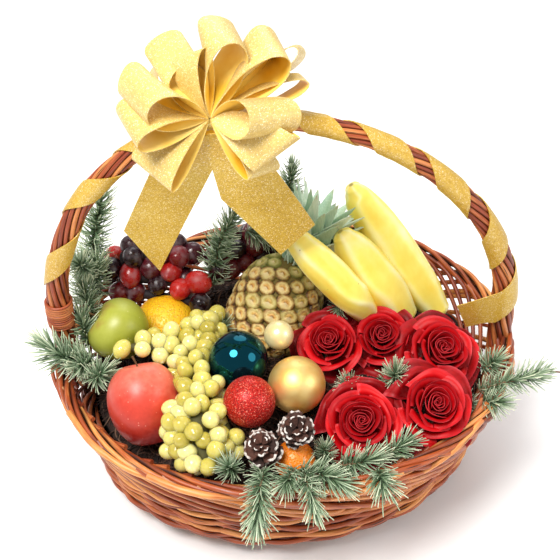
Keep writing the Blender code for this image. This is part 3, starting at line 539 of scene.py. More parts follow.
def needle_grower():
    """Needles round a twig: each leans to its tip and bends, and the last ones close round the bud."""
    tree = Grower("needles_on_twig", needles=150, seed=1)
    inputs = {"Curve": tree.line(), "Count": tree.given("needles")}
    curve = tree.add("GeometryNodeResampleCurve", None, inputs)
    share = tree.add("GeometryNodeSplineParameter")
    seed = tree.given("seed")
    around = tree.add("GeometryNodeInputIndex") * GOLDEN + tree.chance(-0.5, 0.5, seed)
    lean = 1.25 - share**3 * 0.85 + tree.chance(-0.3, 0.3, seed + 1)
    turn = tree.aimed("Z", tree.add("GeometryNodeInputTangent"))
    turn = tree.turned(turn, (0.0, 0.0, 1.0), around)
    turn = tree.turned(turn, (1.0, 0.0, 0.0), lean)
    bend = tree.arc(4, (0.0, 0.0, 0.0), (0.0, 0.0, 0.5), (0.0, 0.12, 1.0))
    bend = tree.stored(bend, "tip", tree.add("GeometryNodeSplineParameter"))
    needle = tree.tube(bend, tree.ring(4), 0.042 - tree.named("tip") * 0.026)
    size = (tree.named("thick") + 0.003) * tree.chance(1.1, 1.55, seed + 2)
    return tree.end(tree.repeated(curve, needle, turn, size, tree.chance(0.0, 1.0, seed + 3)))


def shred_grower():
    """Thin curled shreds scattered over the upward faces of a mesh."""
    tree = Grower("shreds_on_bed", density=25000.0, seed=4)
    rise = tree.add("ShaderNodeSeparateXYZ", None, {0: tree.add("GeometryNodeInputNormal")}, "Z")
    inputs = {
        "Mesh": tree.given("Geometry"),
        "Selection": tree.math("GREATER_THAN", rise, 0.25),
        "Density": tree.given("density"),
        "Seed": tree.given("seed"),
    }
    spots = tree.add("GeometryNodeDistributePointsOnFaces", None, inputs)
    turn = tree.turned(spots.other("Rotation"), (0.0, 0.0, 1.0), tree.chance(0.0, TURN, 5))
    turn = tree.turned(turn, (1.0, 0.0, 0.0), tree.chance(-0.35, 0.35, 6))
    bend = tree.arc(7, (-0.5, -0.12, -0.02), (0.05, 0.3, 0.16), (0.5, -0.2, -0.03))
    shred = tree.tube(bend, tree.ring(4, 0.032))
    size = tree.chance(0.018, 0.034, 7)
    return tree.end(tree.repeated(spots, shred, turn, size, tree.chance(0.0, 1.0, 8)))


COPY_TREE = copy_grower()
NEEDLE_TREE = needle_grower()
SHRED_TREE = shred_grower()


def copies(source, places, ways, stands, sizes, tones, finish):
    """One mesh of this source, repeated at each place."""
    guide = bpy.data.meshes.new("places")
    guide.from_pydata([tuple(p) for p in places], [], [])
    for name, values in (("way", ways), ("stand", stands), ("size", sizes)):
        marks = guide.attributes.new(name, "FLOAT_VECTOR", "POINT")
        marks.data.foreach_set("vector", np.asarray(values, np.float32).ravel())
    mark_points(guide, "tone", tones)
    pattern = bpy.data.objects.new("pattern", source)
    mesh = COPY_TREE.grow(guide, source=pattern, finish=finish)
    bpy.data.objects.remove(pattern, do_unlink=True)
    return mesh


def show(name, mesh, slot, *nodes):
    """Puts a finished mesh in the basket, in the place of these solids."""
    mesh.name = name
    shown = bpy.data.objects.new(name, mesh)
    bpy.context.scene.collection.objects.link(shown)
    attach(shown, "root")
    if nodes:
        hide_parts(*nodes)
    return shown


# ---------------------------------------------------------------- camera, light and floor

CAMERA_PLACE = (0.0, -0.86267, 1.00167)
CAMERA_PITCH = math.radians(41.2975)  # below the horizon
CAMERA_ROLL = math.radians(-3.0)
FOCAL_LENGTH = 74.5
SENSOR = 36.0
VIEW_SHIFT = -0.0017857143  # sideways, as a share of the view's width
NEAREST_SEEN = 0.05


def make_camera():
    camera = bpy.data.cameras.new("camera")
    camera.lens = FOCAL_LENGTH
    camera.sensor_width = SENSOR
    camera.shift_x = VIEW_SHIFT
    camera.clip_start = NEAREST_SEEN
    holder = bpy.data.objects.new("camera", camera)
    tilt = Matrix.Rotation(math.pi / 2 - CAMERA_PITCH, 4, "X") @ Matrix.Rotation(CAMERA_ROLL, 4, "Z")
    holder.matrix_world = Matrix.Translation(CAMERA_PLACE) @ tilt
    bpy.context.scene.collection.objects.link(holder)
    bpy.context.scene.camera = holder


# Soft lights: place, size, power and colour; each is aimed at the middle of the basket.
LIGHTS = {
    "key": ((-0.6, -0.7, 2.2), 1.1, 66.0, (1.0, 0.985, 0.96)),
    "side": ((1.5, -0.6, 1.1), 1.0, 9.0, (1.0, 0.99, 0.98)),
    "back": ((0.2, 1.5, 1.5), 1.2, 9.0, (1.0, 1.0, 1.0)),
}
AIM = Vector((0.0, 0.0, 0.2))
SKY_COLOUR = (1.0, 1.0, 1.0, 1.0)
SKY_STRENGTH = 0.50
FLOOR_REACH = 30.0


def make_light():
    scene = bpy.context.scene
    scene.view_settings.view_transform = "Standard"
    world = bpy.data.worlds.new("studio")
    scene.world = world
    world.use_nodes = True
    sky = world.node_tree.nodes["Background"].inputs
    sky["Color"].default_value = SKY_COLOUR
    sky["Strength"].default_value = SKY_STRENGTH
    for name, (place, size, power, colour) in LIGHTS.items():
        lamp = bpy.data.lights.new(name, "AREA")
        lamp.shape = "DISK"
        lamp.size = size
        lamp.energy = power
        lamp.color = colour
        holder = bpy.data.objects.new(name, lamp)
        holder.location = place
        holder.rotation_euler = (AIM - Vector(place)).to_track_quat("-Z", "Y").to_euler()
        scene.collection.objects.link(holder)


def make_floor():
    """A plain pale floor, wide enough for every view."""
    corners = [(x * FLOOR_REACH, y * FLOOR_REACH, 0) for x, y in ((-1, -1), (1, -1), (1, 1), (-1, 1))]
    mould = Mould()
    mould.put(corners, [[(0, 1, 2, 3)]])
    paper = Finish("floor_paper")
    tone = paper.cloud(3.0) * 0.1
    paper.dress(paper.mix(tone, "FDFDFD", "FFFFFF"), 0.9)
    floor = bpy.data.objects.new("floor", mould.mesh("floor", [paper.material]))
    bpy.context.scene.collection.objects.link(floor)


make_camera()
make_light()
make_floor()


# ---------------------------------------------------------------- willow

# Basket: height, half length and half width of the outer face at each level, as in the solid.
BASKET_LEVELS = (
    (0.000, 0.176, 0.123),
    (0.008, 0.191, 0.137),
    (0.030, 0.203, 0.159),
    (0.053, 0.206, 0.164),
    (0.105, 0.2165, 0.1765),
    (0.158, 0.2365, 0.2010),
)
BASE_SHIFT = -0.007
SHIFT_HEIGHT = 0.128
WEAVE_LOW, WEAVE_TOP = 0.0045, 0.104
COURSES = 14
COURSE_WANDER = 0.0034
ROD_WANDER = 0.0028
ROD_WEAVE = 0.0024
# The rods of a course: lift above its middle, depth under the outer face, radius and range of tones; the
# thin rod behind takes a lower range: random tone, lowered as painted shade in the gaps.
COURSE_RODS = ((0.0, 0.0022, 0.0030, (0.2, 1.0)), (0.0032, 0.0060, 0.0019, (-0.2, 0.2)))
RODS_ROUND = 3
ROD_OVERLAP = 1.07
ROD_TUCK = 0.0040
WEAVE_ABOVE = 0.006
STAKES = 28
STAKE_HEIGHTS = (0.006, 0.03, 0.06, 0.09, 0.112)
STAKE_DEPTH = 0.0052
STAKE_RADIUS = 0.0024
FLOOR_RODS = 11
FLOOR_HEIGHT = 0.0052
FLOOR_RADIUS = 0.0032
FLOOR_INSET = 0.004
FLOOR_WEAVE = 0.0012
BORDER_GROUPS = 12
BORDER_SIDE_BY_SIDE = 4
BORDER_LOW = 0.086
BORDER_ABOVE = 0.002  # over the height of the rim
BORDER_ARCH = 0.0028
BORDER_STAGGER = 0.0012
BORDER_TUCK_TOP, BORDER_TUCK_END = 0.004, 0.0048
BORDER_STEP = math.radians(30)
BORDER_SWEEP = math.radians(38)
BORDER_SPREAD = math.radians(7.0)
# Rods over the border: angle round the basket in degrees, height and depth under the outer face; radius.
CUT_RODS = (
    (((236, 0.158, -0.002), (244, 0.157, -0.004), (252, 0.153, -0.003), (261, 0.146, 0.002)), 0.0040),
    (((205, 0.160, 0.000), (218, 0.158, -0.003), (230, 0.150, -0.003), (242, 0.141, 0.003)), 0.0038),
    (((215, 0.138, -0.002), (228, 0.128, -0.004), (240, 0.112, -0.001), (248, 0.102, 0.004)), 0.0036),
    (((274, 0.138, 0.004), (281, 0.146, -0.003), (289, 0.153, -0.003), (296, 0.158, 0.001)), 0.0034),
    (((296, 0.128, 0.003), (303, 0.142, -0.003), (312, 0.153, -0.002), (322, 0.160, 0.002)), 0.0033),
)
CUT_SLIMMING = 0.85
CUT_TONE = 0.95
LEFT_LOOPS = (
    (
        (183, 0.156, 0.006),
        (186, 0.157, -0.004),
        (191, 0.145, -0.006),
        (197, 0.126, -0.003),
        (204, 0.104, 0.006),
    ),
    ((185, 0.152, 0.004), (190, 0.147, 0.001), (196, 0.130, 0.000), (202, 0.108, 0.005)),
)
LOOP_RADIUS = 0.0021
RIM_HEIGHT = 0.1545
RIM_RODS = 5
RIM_ROD = 0.0025
RIM_LAY = 0.0050
RIM_INSET = 0.006
RIM_TWISTS = 7
RIM_WANDER = 0.0014
# Heights and depths of the dark sheet of painted shade inside the wall.
WALL_SHADE_HEIGHTS = (0.006, 0.03, 0.06, 0.09, WEAVE_TOP - 0.002)
WALL_SHADE_DEPTHS = (0.0058, 0.0080)
BUNDLE_SHADE = 1.7

# Handle: a hoop of twisted rods in the plane y = 0, as in the solid.
HANDLE_HALF_SPAN = 0.224
HANDLE_SPRING = 0.208
HANDLE_RISE = 0.225
HANDLE_LEAN = 0.012
HANDLE_FOOT = 0.1165
HANDLE_SLIMMING = 0.31
HANDLE_RODS = 10
HANDLE_ROD = 0.0029
HANDLE_CORE = 0.0070
HANDLE_LAY = 0.0097  # from the middle of the handle to the middle of each rod
HANDLE_TWISTS = 3.4
TIE_LOW, TIE_HIGH = 0.200, 0.232
TIE_TURNS = 11
TIE_CANE = 0.0015
TIE_LAY = 0.0127
TIE_SEAM = 3.9  # where each lap of the cane begins, away from the front


def willow_finish(name, dark, middle, light, scar_and_gap_shade):
    """Varnished willow: a tone for each rod, streaks along its grain, small dark marks, and painted shade
    where a rod lies deep between the others.
    """
    willow = Finish(name)
    split = willow.add("ShaderNodeSeparateXYZ", None, {0: willow.mark("ring", "Vector")})
    along = willow.mark("along") * 22 + willow.mark("tone") * 90
    grain = willow.add("ShaderNodeCombineXYZ", None, {"X": split, "Y": split.other("Y"), "Z": along})
    lines = willow.cloud(2.6, grain, 4.0)
    patches = willow.level(willow.cloud(38.0, None, 2.0), 0.3, 0.7)
    scars = willow.level(willow.cells(0.9, grain), 0.10, 0.22)
    tone = willow.mark("tone") * 0.66 + willow.level(lines, 0.3, 0.7) * 0.34 + patches * 0.16 - 0.08
    colour = willow.ramp(tone, (0.06, dark), (0.94, light), (0.5, middle))
    colour = willow.mix(scars, scar_and_gap_shade, colour)
    # Painted shade: points that lie deep between the rods take the dark colour of the marks.
    gap_shade = willow.level(willow.mark("deep"), 0.0010, 0.0052) * 0.94
    colour = willow.mix(gap_shade, colour, scar_and_gap_shade)
    rough = willow.level(lines, 0.3, 0.7, 0.34, 0.58)
    return willow.dress(colour, rough, (lines, 0.5, 0.0006), coat_weight=0.12, coat_roughness=0.3)


WILLOW = willow_finish("willow", "5A1A08", "AA4E20", "EAA258", "280A04")
# Darker willow; on the inner border it stands as painted shade, as that border lies on the wall's shaded
# inside.
DARK_WILLOW = willow_finish("dark_willow", "4A120A", "98401C", "D88C4C", "280A06")


def oval(height):
    """Half length and half width of the basket's outer face at this height."""
    for (z0, a0, b0), (z1, a1, b1) in zip(BASKET_LEVELS, BASKET_LEVELS[1:]):
        if height <= z1:
            break
    t = (height - z0) / (z1 - z0)
    return a0 + (a1 - a0) * t, b0 + (b1 - b0) * t


def wall_shift(height):
    """How far the middle of the wall lies to the side at this height."""
    return BASE_SHIFT * max(0.0, 1 - height / SHIFT_HEIGHT)


def on_wall(angle, height, inset=0.0):
    """A point at this angle round the basket, so far under the wall's outer face."""
    a, b = oval(height)
    across = wall_shift(height) + (a - inset) * math.cos(angle)
    return Vector((across, (b - inset) * math.sin(angle), height))


def handle_point(angle):
    """A point on the handle's middle line: 0 is its right spring, pi its left, and the legs lie beyond."""
    turn = min(max(angle, 0.0), math.pi)
    below = (angle - turn) * HANDLE_RISE
    rise = HANDLE_RISE * math.sin(turn) - HANDLE_LEAN * math.sin(2 * turn) - abs(below)
    return Vector((HANDLE_HALF_SPAN * math.cos(turn), 0.0, HANDLE_SPRING + rise))


def handle_frame(angle):
    """The handle's middle, its outward side in the hoop's plane, and the way across the plane."""
    middle = handle_point(angle)
    along = (handle_point(angle + 0.01) - handle_point(angle - 0.01)).normalized()
    return middle, Vector((along.z, 0.0, -along.x)), Vector((0.0, -1.0, 0.0))


def handle_slim(angle):
    """The handle's thickness at this angle, as a share of its thickness at the feet."""
    return 1 - HANDLE_SLIMMING * math.sin(min(max(angle, 0.0), math.pi)) ** 0.8


def round_handle(angle, radius, turn):
    """A point so far from the handle's middle line, turned from its outward side towards the front."""
    middle, outward, across = handle_frame(angle)
    return middle + radius * (outward * math.cos(turn) + across * math.sin(turn))


def gaps_marked(mesh, depth_of):
    """The same mesh with a mark on each point: how deep it lies between the rods, by this rule; the willow
    finishes paint shade by this mark.
    """
    spots = np.empty(len(mesh.vertices) * 3, np.float32)
    mesh.vertices.foreach_get("co", spots)
    mark_points(mesh, "deep", [depth_of(*spot) for spot in spots.reshape(-1, 3)])
    return mesh


def under_wall_face(x, y, z):
    """How far a point lies under the wall's outer face."""
    a, b = oval(min(max(z, 0.0), BASKET_LEVELS[-1][0]))
    return (1 - math.hypot((x - wall_shift(z)) / a, y / b)) * b


def inside_bundle(line, reaches):
    """A rule for how far a point lies inside a bundle of rods, from its middle line and its reach there."""
    tree = kdtree.KDTree(len(line))
    for k, spot in enumerate(line):
        tree.insert(spot, k)
    tree.balance()

    def depth_of(*spot):
        _, k, distance = tree.find(spot)
        return (reaches[k] - distance) * BUNDLE_SHADE

    return depth_of


def lower_weave():
    """Courses of one thick rod and a thin one behind it, which pass the stakes and wander up and down."""
    rng = random.Random(7)
    paths = Paths()
    steps = 52
    for course in range(COURSES):
        middle = WEAVE_LOW + (WEAVE_TOP - WEAVE_LOW) * (course + 0.5) / COURSES
        shared = waver(rng, (2, 3, 5, 8), COURSE_WANDER)
        for lift, inset, strand, tones in COURSE_RODS:
            own = waver(rng, (6, 9, 13, 17, 23), ROD_WANDER)
            first = rng.uniform(0, TURN)
            for number in range(RODS_ROUND):
                start = first + TURN * number / RODS_ROUND
                span = TURN / RODS_ROUND * ROD_OVERLAP
                points = []
                for k in range(steps + 1):
                    share = k / steps
                    angle = start + span * share
                    height = middle + lift + shared(angle) + own(angle)
                    height = min(max(height, strand), WEAVE_TOP + WEAVE_ABOVE)
                    weave = ROD_WEAVE * math.cos(angle * STAKES / 2 + math.pi * course)
                    tuck = ROD_TUCK * max(0.0, 1 - min(share, 1 - share) * 14)
                    points.append(on_wall(angle, height, inset + weave + tuck))
                paths.run(points, strand * rng.uniform(0.80, 1.15), rng.uniform(*tones))
    return paths


def stakes_and_floor():
    """The upright stakes of the wall, and the rods that run round in the floor."""
    rng = random.Random(11)
    paths = Paths()
    for k in range(STAKES):
        angle = TURN * (k + 0.5) / STAKES + rng.uniform(-0.01, 0.01)
        points = [on_wall(angle, height, STAKE_DEPTH) for height in STAKE_HEIGHTS]
        paths.run(points, STAKE_RADIUS, rng.uniform(0.1, 0.6))
    for k in range(FLOOR_RODS):
        share = 1 - (k + 0.4) / (FLOOR_RODS + 0.5)
        points = []
        for angle in circle(72):
            edge = on_wall(angle, 0.0055 if k else 0.0045, FLOOR_INSET)
            lift = FLOOR_WEAVE * math.cos(12 * angle + math.pi * k)
            across = BASE_SHIFT + (edge.x - BASE_SHIFT) * share
            points.append((across, edge.y * share, FLOOR_HEIGHT + lift))
        paths.run(points, FLOOR_RADIUS, rng.uniform(0.2, 0.6), closed=True)
    return paths


def border(inset, sense, radius, tones, seed):
    """One layer of the open border: long rods that sweep down from the rim in groups."""
    rng = random.Random(seed)
    paths = Paths()
    high = RIM_HEIGHT + BORDER_ABOVE
    count = 18
    for group in range(BORDER_GROUPS):
        sweep = BORDER_SWEEP * rng.uniform(0.85, 1.2)
        for j in range(BORDER_SIDE_BY_SIDE):
            start = BORDER_STEP * (group + 0.25 * sense) + BORDER_SPREAD * j + rng.uniform(-0.03, 0.03)
            bottom = BORDER_LOW + rng.uniform(-0.010, 0.008)
            bow = rng.uniform(-0.003, 0.003)
            points = []
            for i in range(count):
                t = i / (count - 1)
                arch = math.sin(math.pi * t)
                fall = 0.6 * t + 0.4 * t * t * (3 - 2 * t)
                height = high + (bottom - high) * fall + bow * arch
                lie = inset - BORDER_ARCH * sense * arch + BORDER_STAGGER * (j % 2)
                tuck = BORDER_TUCK_TOP * max(0.0, 1 - t / 0.12)
                lie += tuck + BORDER_TUCK_END * (sense > 0) * max(0.0, t - 0.9) / 0.1
                points.append(on_wall(start + sense * sweep * t, height, lie))
            thick = radius * rng.uniform(0.80, 1.15) * (1 - 0.3 * np.linspace(0, 1, count))
            paths.run(points, thick, rng.uniform(*tones))
    return paths


def cut_rods():
    """Thick light rods with sawn ends over the border, and thin loops that stand out at the left."""
    paths = Paths()
    rods_laid = [(stations, radius * CUT_SLIMMING, CUT_TONE) for stations, radius in CUT_RODS]
    rods_laid += [(stations, LOOP_RADIUS, 0.5) for stations in LEFT_LOOPS]
    for stations, radius, tone in rods_laid:
        points = [on_wall(math.radians(turn), height, inset) for turn, height, inset in stations]
        paths.run(smooth(points, 5), radius, tone)
    return paths


def rim():
    """Long rods laid along the top edge, slowly turning round each other."""
    rng = random.Random(3)
    paths = Paths()
    count = 160
    for j in range(RIM_RODS):
        start = rng.uniform(0, TURN)
        wander = waver(rng, (2, 3, 5, 9), RIM_WANDER)
        points = []
        for k in range(count):
            angle = start + TURN * k / count
            turn = TURN * j / RIM_RODS + RIM_TWISTS * angle
            height = RIM_HEIGHT + RIM_LAY * math.sin(turn) + wander(angle)
            points.append(on_wall(angle, height, RIM_INSET + RIM_LAY * math.cos(turn)))
        paths.run(points, RIM_ROD * rng.uniform(0.85, 1.15), rng.uniform(0.1, 1.0), closed=True)
    return paths


def wall_shade_finish():
    """Willow in the shade inside the wall."""
    shade = Finish("shaded_willow")
    streaks = shade.cloud(60.0, shade.stretched((1.0, 1.0, 4.0)))
    colour = shade.ramp(streaks, (0.3, "120302"), (0.7, "300C06"))
    return shade.dress(colour, 0.8, (streaks, 0.5, 0.001))


def wall_shade():
    """A dark sheet inside the wall: painted shade that shows between the rods."""
    around = 96
    stations = [(height, WALL_SHADE_DEPTHS[0]) for height in WALL_SHADE_HEIGHTS]
    stations += [(height, WALL_SHADE_DEPTHS[1]) for height in WALL_SHADE_HEIGHTS[::-1]]
    rows = [[on_wall(angle, height, depth) for angle in circle(around)] for height, depth in stations]
    mould = Mould()
    mould.put(rows, [grid_faces(len(rows), around, round_rows=True, round_columns=True)[:, ::-1]])
    return mould.mesh("basket_lining", [wall_shade_finish()])


def make_basket():
    def in_wall(paths, finish, sides):
        return gaps_marked(rods(paths, finish, sides), under_wall_face)

    # How deep points lie in the rim's bundle, for the willow's painted shade.
    line = [on_wall(angle, RIM_HEIGHT, RIM_INSET) for angle in circle(720)]
    in_rim = inside_bundle(line, [RIM_LAY + RIM_ROD] * len(line))
    outer = border(-0.0014, 1, 0.0031, (0.05, 1.0), 5)
    inner = border(0.0098, -1, 0.0026, (0.0, 0.75), 6)
    show("basket_weave", in_wall(lower_weave(), WILLOW, 7), "willow", "basket")
    show("basket_stakes", in_wall(stakes_and_floor(), DARK_WILLOW, 7), "willow")
    show("basket_border", in_wall(outer, WILLOW, 9), "willow", "basket")
    # The inner border takes the darker willow as painted shade, for the wall's shaded inside.
    show("basket_border_inside", rods(inner, DARK_WILLOW, 8), "willow")
    show("basket_cut_rods", rods(cut_rods(), WILLOW, 10), "willow")
    show("basket_rim", gaps_marked(rods(rim(), WILLOW, 9), in_rim), "willow")
    show("basket_lining", wall_shade(), "willow")


def handle_rods(rng):
    """Rods twisted round a core, all along the hoop and down its legs."""
    leg = (HANDLE_SPRING - HANDLE_FOOT) / HANDLE_RISE
    first, last = -leg, math.pi + leg
    paths = Paths()
    count = 90
    lays = [(HANDLE_LAY, HANDLE_ROD)] * HANDLE_RODS + [(0.0, HANDLE_CORE)]
    for j, (lay, radius) in enumerate(lays):
        if lay:
            radius *= rng.uniform(0.88, 1.04)
        points, radii = [], []
        for k in range(count + 1):
            share = k / count
            angle = first + (last - first) * share
            slim = handle_slim(angle)
            turn = TURN * (j / HANDLE_RODS + HANDLE_TWISTS * share)
            points.append(round_handle(angle, lay * slim, turn))
            radii.append(radius * slim)
        paths.run(points, radii, rng.uniform(0.1, 1.0))
    # How deep points lie in the handle's bundle, for the willow's painted shade.
    turns = np.linspace(first, last, 600)
    reaches = [(HANDLE_LAY + HANDLE_ROD) * handle_slim(angle) for angle in turns]
    in_handle = inside_bundle([handle_point(angle) for angle in turns], reaches)
    return gaps_marked(rods(paths, DARK_WILLOW, 10, 2), in_handle)


def handle_cane(rng):
    """Cane wound round the left foot of the handle, lap upon lap."""
    paths = Paths()
    per_turn = 14
    for lap in range(TIE_TURNS):
        points = []
        for k in range(per_turn + 1):
            share = (lap + k / per_turn) / TIE_TURNS
            height = TIE_LOW + TIE_CANE + (TIE_HIGH - TIE_LOW - 2 * TIE_CANE) * share
            angle = math.pi + (HANDLE_SPRING - height) / HANDLE_RISE
            points.append(round_handle(angle, TIE_LAY, TURN * k / per_turn + TIE_SEAM))
        paths.run(points, TIE_CANE * rng.uniform(0.85, 1.05), rng.uniform(0.3, 1.0))
    return rods(paths, DARK_WILLOW, 8, 2)


def make_handle():
    rng = random.Random(2)
    show("handle_rods", handle_rods(rng), "dark_willow", "handle")
    show("handle_cane", handle_cane(rng), "dark_willow", "handle_tie")


make_basket()
make_handle()


# ---------------------------------------------------------------- ribbon

# Handle angles at which the middle of the wound ribbon comes to the front, and the angle it covers there.
WRAP_STATIONS = (-0.42, 0.02, 0.40, 0.785, 1.10, 1.40, 1.72, 2.07, 2.43, 2.81, 3.20)
WRAP_WIDTHS = (0.19, 0.19, 0.21, 0.23, 0.20, 0.19, 0.18, 0.17, 0.17, 0.16, 0.04)
WRAP_START, WRAP_STOP = 0.90, 9.27
WRAP_FRONT = (0.75, 0.66)  # the front of the handle looks this far forward and up
WRAP_INNER = 0.0133
WRAP_THICK = 0.0010
WRAP_CREASE = 0.0005
# The ribbon's last end, which stands off over the wall: upper and lower edge, far end first.
WRAP_END = (
    ((0.1762, -0.006, 0.2020), (0.1880, -0.004, 0.1700)),
    ((0.1945, -0.011, 0.2130), (0.2030, -0.010, 0.1800)),
)
KNOT = Vector((-0.053, -0.034, 0.459))
KNOT_SIZE = Vector((8.0, 8.0, 10.0))  # in mm, in the bow's own directions
KNOT_BACK = 11  # in mm
KNOT_PLEATS = 9
BOW_PITCH = math.radians(41.3)
BOW_ROLL = math.radians(3.0)
RIBBON_THICK = 0.0008
LOOP_RIPPLE = 0.0009
TAIL_WAVE = 0.0012
RIBBON_SIDES = (0, 1, 0)  # glittered face, satin back, glittered edge
# Loops: tip of the front edge and ribbon width vector, right, up and forward of the knot in mm; half
# opening in mm; and how much later the back edge opens than the front edge.
BOW_LOOPS = {
    "far_left": ((-46, 44, -30), (-10, 12, -40), 9, 2.0),
    "left": ((-48, 1, 36), (-27, 34, -30), 17, 2.4),
    "low_left": ((-58, -27, 26), (-22, 35, -32), 12, 1.6),
    "down_left": ((-32, -62, 0), (-36, 30, -26), 8, 1.6),
    "high_left": ((-25, 42, 4), (-21, 34, -29), 18, 2.2),
    "inner_top": ((-3, 55, 26), (-25, -3, -30), 9, 1.4),
    "top": ((24, 57, 34), (-17, 30, -34), 17, 2.8),
    "high_right": ((67, 46, 20), (-13, 32, -37), 16, 1.6),
    "far_right": ((74, 62, -12), (6, 6, -28), 9, 2.0),
    "right": ((84, 30, 0), (-6, 11, -26), 9, 0.0),
    "near_right": ((35, -8, 49), (42, 8, -28), 16, 0.0),
    "low_right": ((38, -46, 10), (38, 27, 14), 9, 1.0),
    "under_right": ((32, -52, 6), (26, 12, -30), 6, 1.6),
}
# Tails: pairs of points on the two edges of the ribbon, from the knot down to the slanted end.
BOW_TAILS = (
    (
        ((-0.068, -0.037, 0.445), (-0.052, -0.037, 0.445)),
        ((-0.0950, -0.034, 0.4349), (-0.0430, -0.034, 0.4311)),
        ((-0.1125, -0.029, 0.3990), (-0.0575, -0.029, 0.3990)),
        ((-0.1462, -0.003, 0.3180), (-0.1185, 0.004, 0.2598)),
    ),
    (
        ((-0.056, -0.037, 0.446), (-0.042, -0.037, 0.446)),
        ((-0.0590, -0.034, 0.4322), (-0.0140, -0.034, 0.4298)),
        ((-0.0500, -0.028, 0.3700), (0.0040, -0.029, 0.3930)),
        ((0.0010, -0.017, 0.2903), (0.0345, -0.017, 0.3246)),
    ),
)
BAND_ANGLE = math.radians(103.9)
BAND_HALF = 0.009
BAND_REACH = 0.0036
BAND_THICK = 0.0012


def glitter_finish():
    """The glittered face of the ribbon."""
    face = Finish("gold_ribbon_glitter")
    flakes = face.flakes(1500.0)
    bright = flakes.other("Green")
    soft = face.level(face.cloud(24.0), 0.3, 0.7)
    tone = flakes * 0.38 + soft * 0.22 + face.cloud(420.0, None, 2.0) * 0.40
    colour = face.ramp(
        tone, (0.10, "8E6C10"), (1.0, "FFF6CC"), (0.34, "C89C20"), (0.62, "DDB840"), (0.86, "F4E08C")
    )
    colour = face.mix(face.level(bright, 0.91, 0.96) * 0.8, colour, "FFFBD8")
    # Painted sheen: the loops, marked pale, turn creamier because they face up to the light.
    colour = face.mix(face.mark("pale") * 0.15, colour, "FFFADC")
    # Painted shade: the wound ribbon, which carries this mark, is darkened towards deep gold.
    colour = face.mix(face.mark("worn") * 0.35, colour, "A87C1C")
    rough = face.level(bright, 0.0, 1.0, 0.6, 0.35)
    relief = (flakes.other("Blue"), 0.6, 0.0006)
    return face.dress(colour, rough, relief, coat_weight=0.5, coat_roughness=0.42)


def satin_finish():
    """The satin back of the ribbon."""
    back = Finish("gold_ribbon_satin")
    threads = back.cloud(900.0, back.stretched((1.0, 1.0, 0.15)), 1.0)
    colour = back.mix(back.level(back.cloud(30.0), 0.35, 0.65), "F2C43C", "FFE280")
    return back.dress(colour, 0.35, (threads, 0.2, 0.0003))


RIBBON = [glitter_finish(), satin_finish()]


def wound_ribbon():
    """The ribbon round the handle in an open spiral, its last end standing off over the wall."""
    steps, columns = 200, 7
    turns = np.arange(len(WRAP_STATIONS))
    rows = []
    for turn in np.linspace(WRAP_START, WRAP_STOP, steps):
        middle = float(np.interp(turn, turns, WRAP_STATIONS))
        reach = float(np.interp(turn, turns, WRAP_WIDTHS)) / 2
        row = []
        for c in np.linspace(1, -1, columns):
            angle = middle + c * reach
            outward = handle_frame(angle)[1]
            way = TURN * turn - math.atan2(WRAP_FRONT[0], WRAP_FRONT[1] * outward.z)
            radius = WRAP_INNER * handle_slim(angle) + WRAP_THICK / 2
            crease = WRAP_CREASE * noise.noise(Vector((turn * 5, c * 2, 2.0)))
            row.append(round_handle(angle, radius + crease, -way))
        rows.append(row)
    lead = [between(Vector(upper), Vector(lower), columns) for upper, lower in WRAP_END]
    lead = smooth([*np.array(lead), np.array(rows[0])], 6)[:-1]
    # The wound ribbon carries the mark for the glitter's painted shade.
    mould = Mould("worn")
    sheet(mould, np.concatenate([lead, rows]), WRAP_THICK, RIBBON_SIDES, flip=True, worn=1.0)
    return mould.mesh("handle_wrap", RIBBON)


def bow_space():
    """The bow's own right, up and forward directions, scaled to millimetres."""
    up = Vector((0.0, math.sin(BOW_PITCH), math.cos(BOW_PITCH)))
    side = Vector((1.0, 0.0, 0.0))
    right = side * math.cos(BOW_ROLL) - up * math.sin(BOW_ROLL)
    raised = side * math.sin(BOW_ROLL) + up * math.cos(BOW_ROLL)
    return Matrix((right, raised, right.cross(raised))).transposed() * 0.001


def bow_loop(mould, tip, width, half_opening, pinch, space, number):
    """A full loop of ribbon: tight at the knot, round at its tip, and closed towards its back edge."""
    steps, columns = 72, 11
    tip, width = space @ Vector(tip), space @ Vector(width)
    bulge = width.cross(tip).normalized()
    rows = []
    for k in range(steps):
        angle = math.pi * (k + 0.5) / steps
        share = math.sin(angle) ** 2
        row = []
        for c in np.linspace(0, 1, columns):
            power = 0.85 + pinch * c
            peak = power / (power + 0.5)
            opened = half_opening * 0.001 * (share / peak) ** power * math.cos(angle) / math.sqrt(1 - peak)
            ripple = LOOP_RIPPLE * noise.noise(Vector((c * 1.5, angle * 4, number * 3.7))) * share
            spot = KNOT + tip * (0.02 + 0.98 * share) + width * c * share**0.38
            row.append(spot + bulge * (opened + ripple))
        rows.append(row)
    # The pale mark gives the loop the glitter's painted sheen.
    sheet(mould, rows, RIBBON_THICK, RIBBON_SIDES, closed=True, flip=True, pale=1.0)


def bow_tail(mould, edges):
    """A flat tail between two straight edges, with a slight wave in it."""
    columns, steps = 9, 8
    rows = []
    for (a, b), (c, d) in zip(edges, edges[1:]):
        for t in np.arange(steps) / steps:
            rows.append(between(Vector(a).lerp(Vector(c), t), Vector(b).lerp(Vector(d), t), columns))
    rows.append(between(Vector(c), Vector(d), columns))
    rows = np.array(rows)
    rows[..., 1] += TAIL_WAVE * np.sin(np.arange(len(rows)) * 0.35)[:, None]
    sheet(mould, rows, RIBBON_THICK, RIBBON_SIDES)


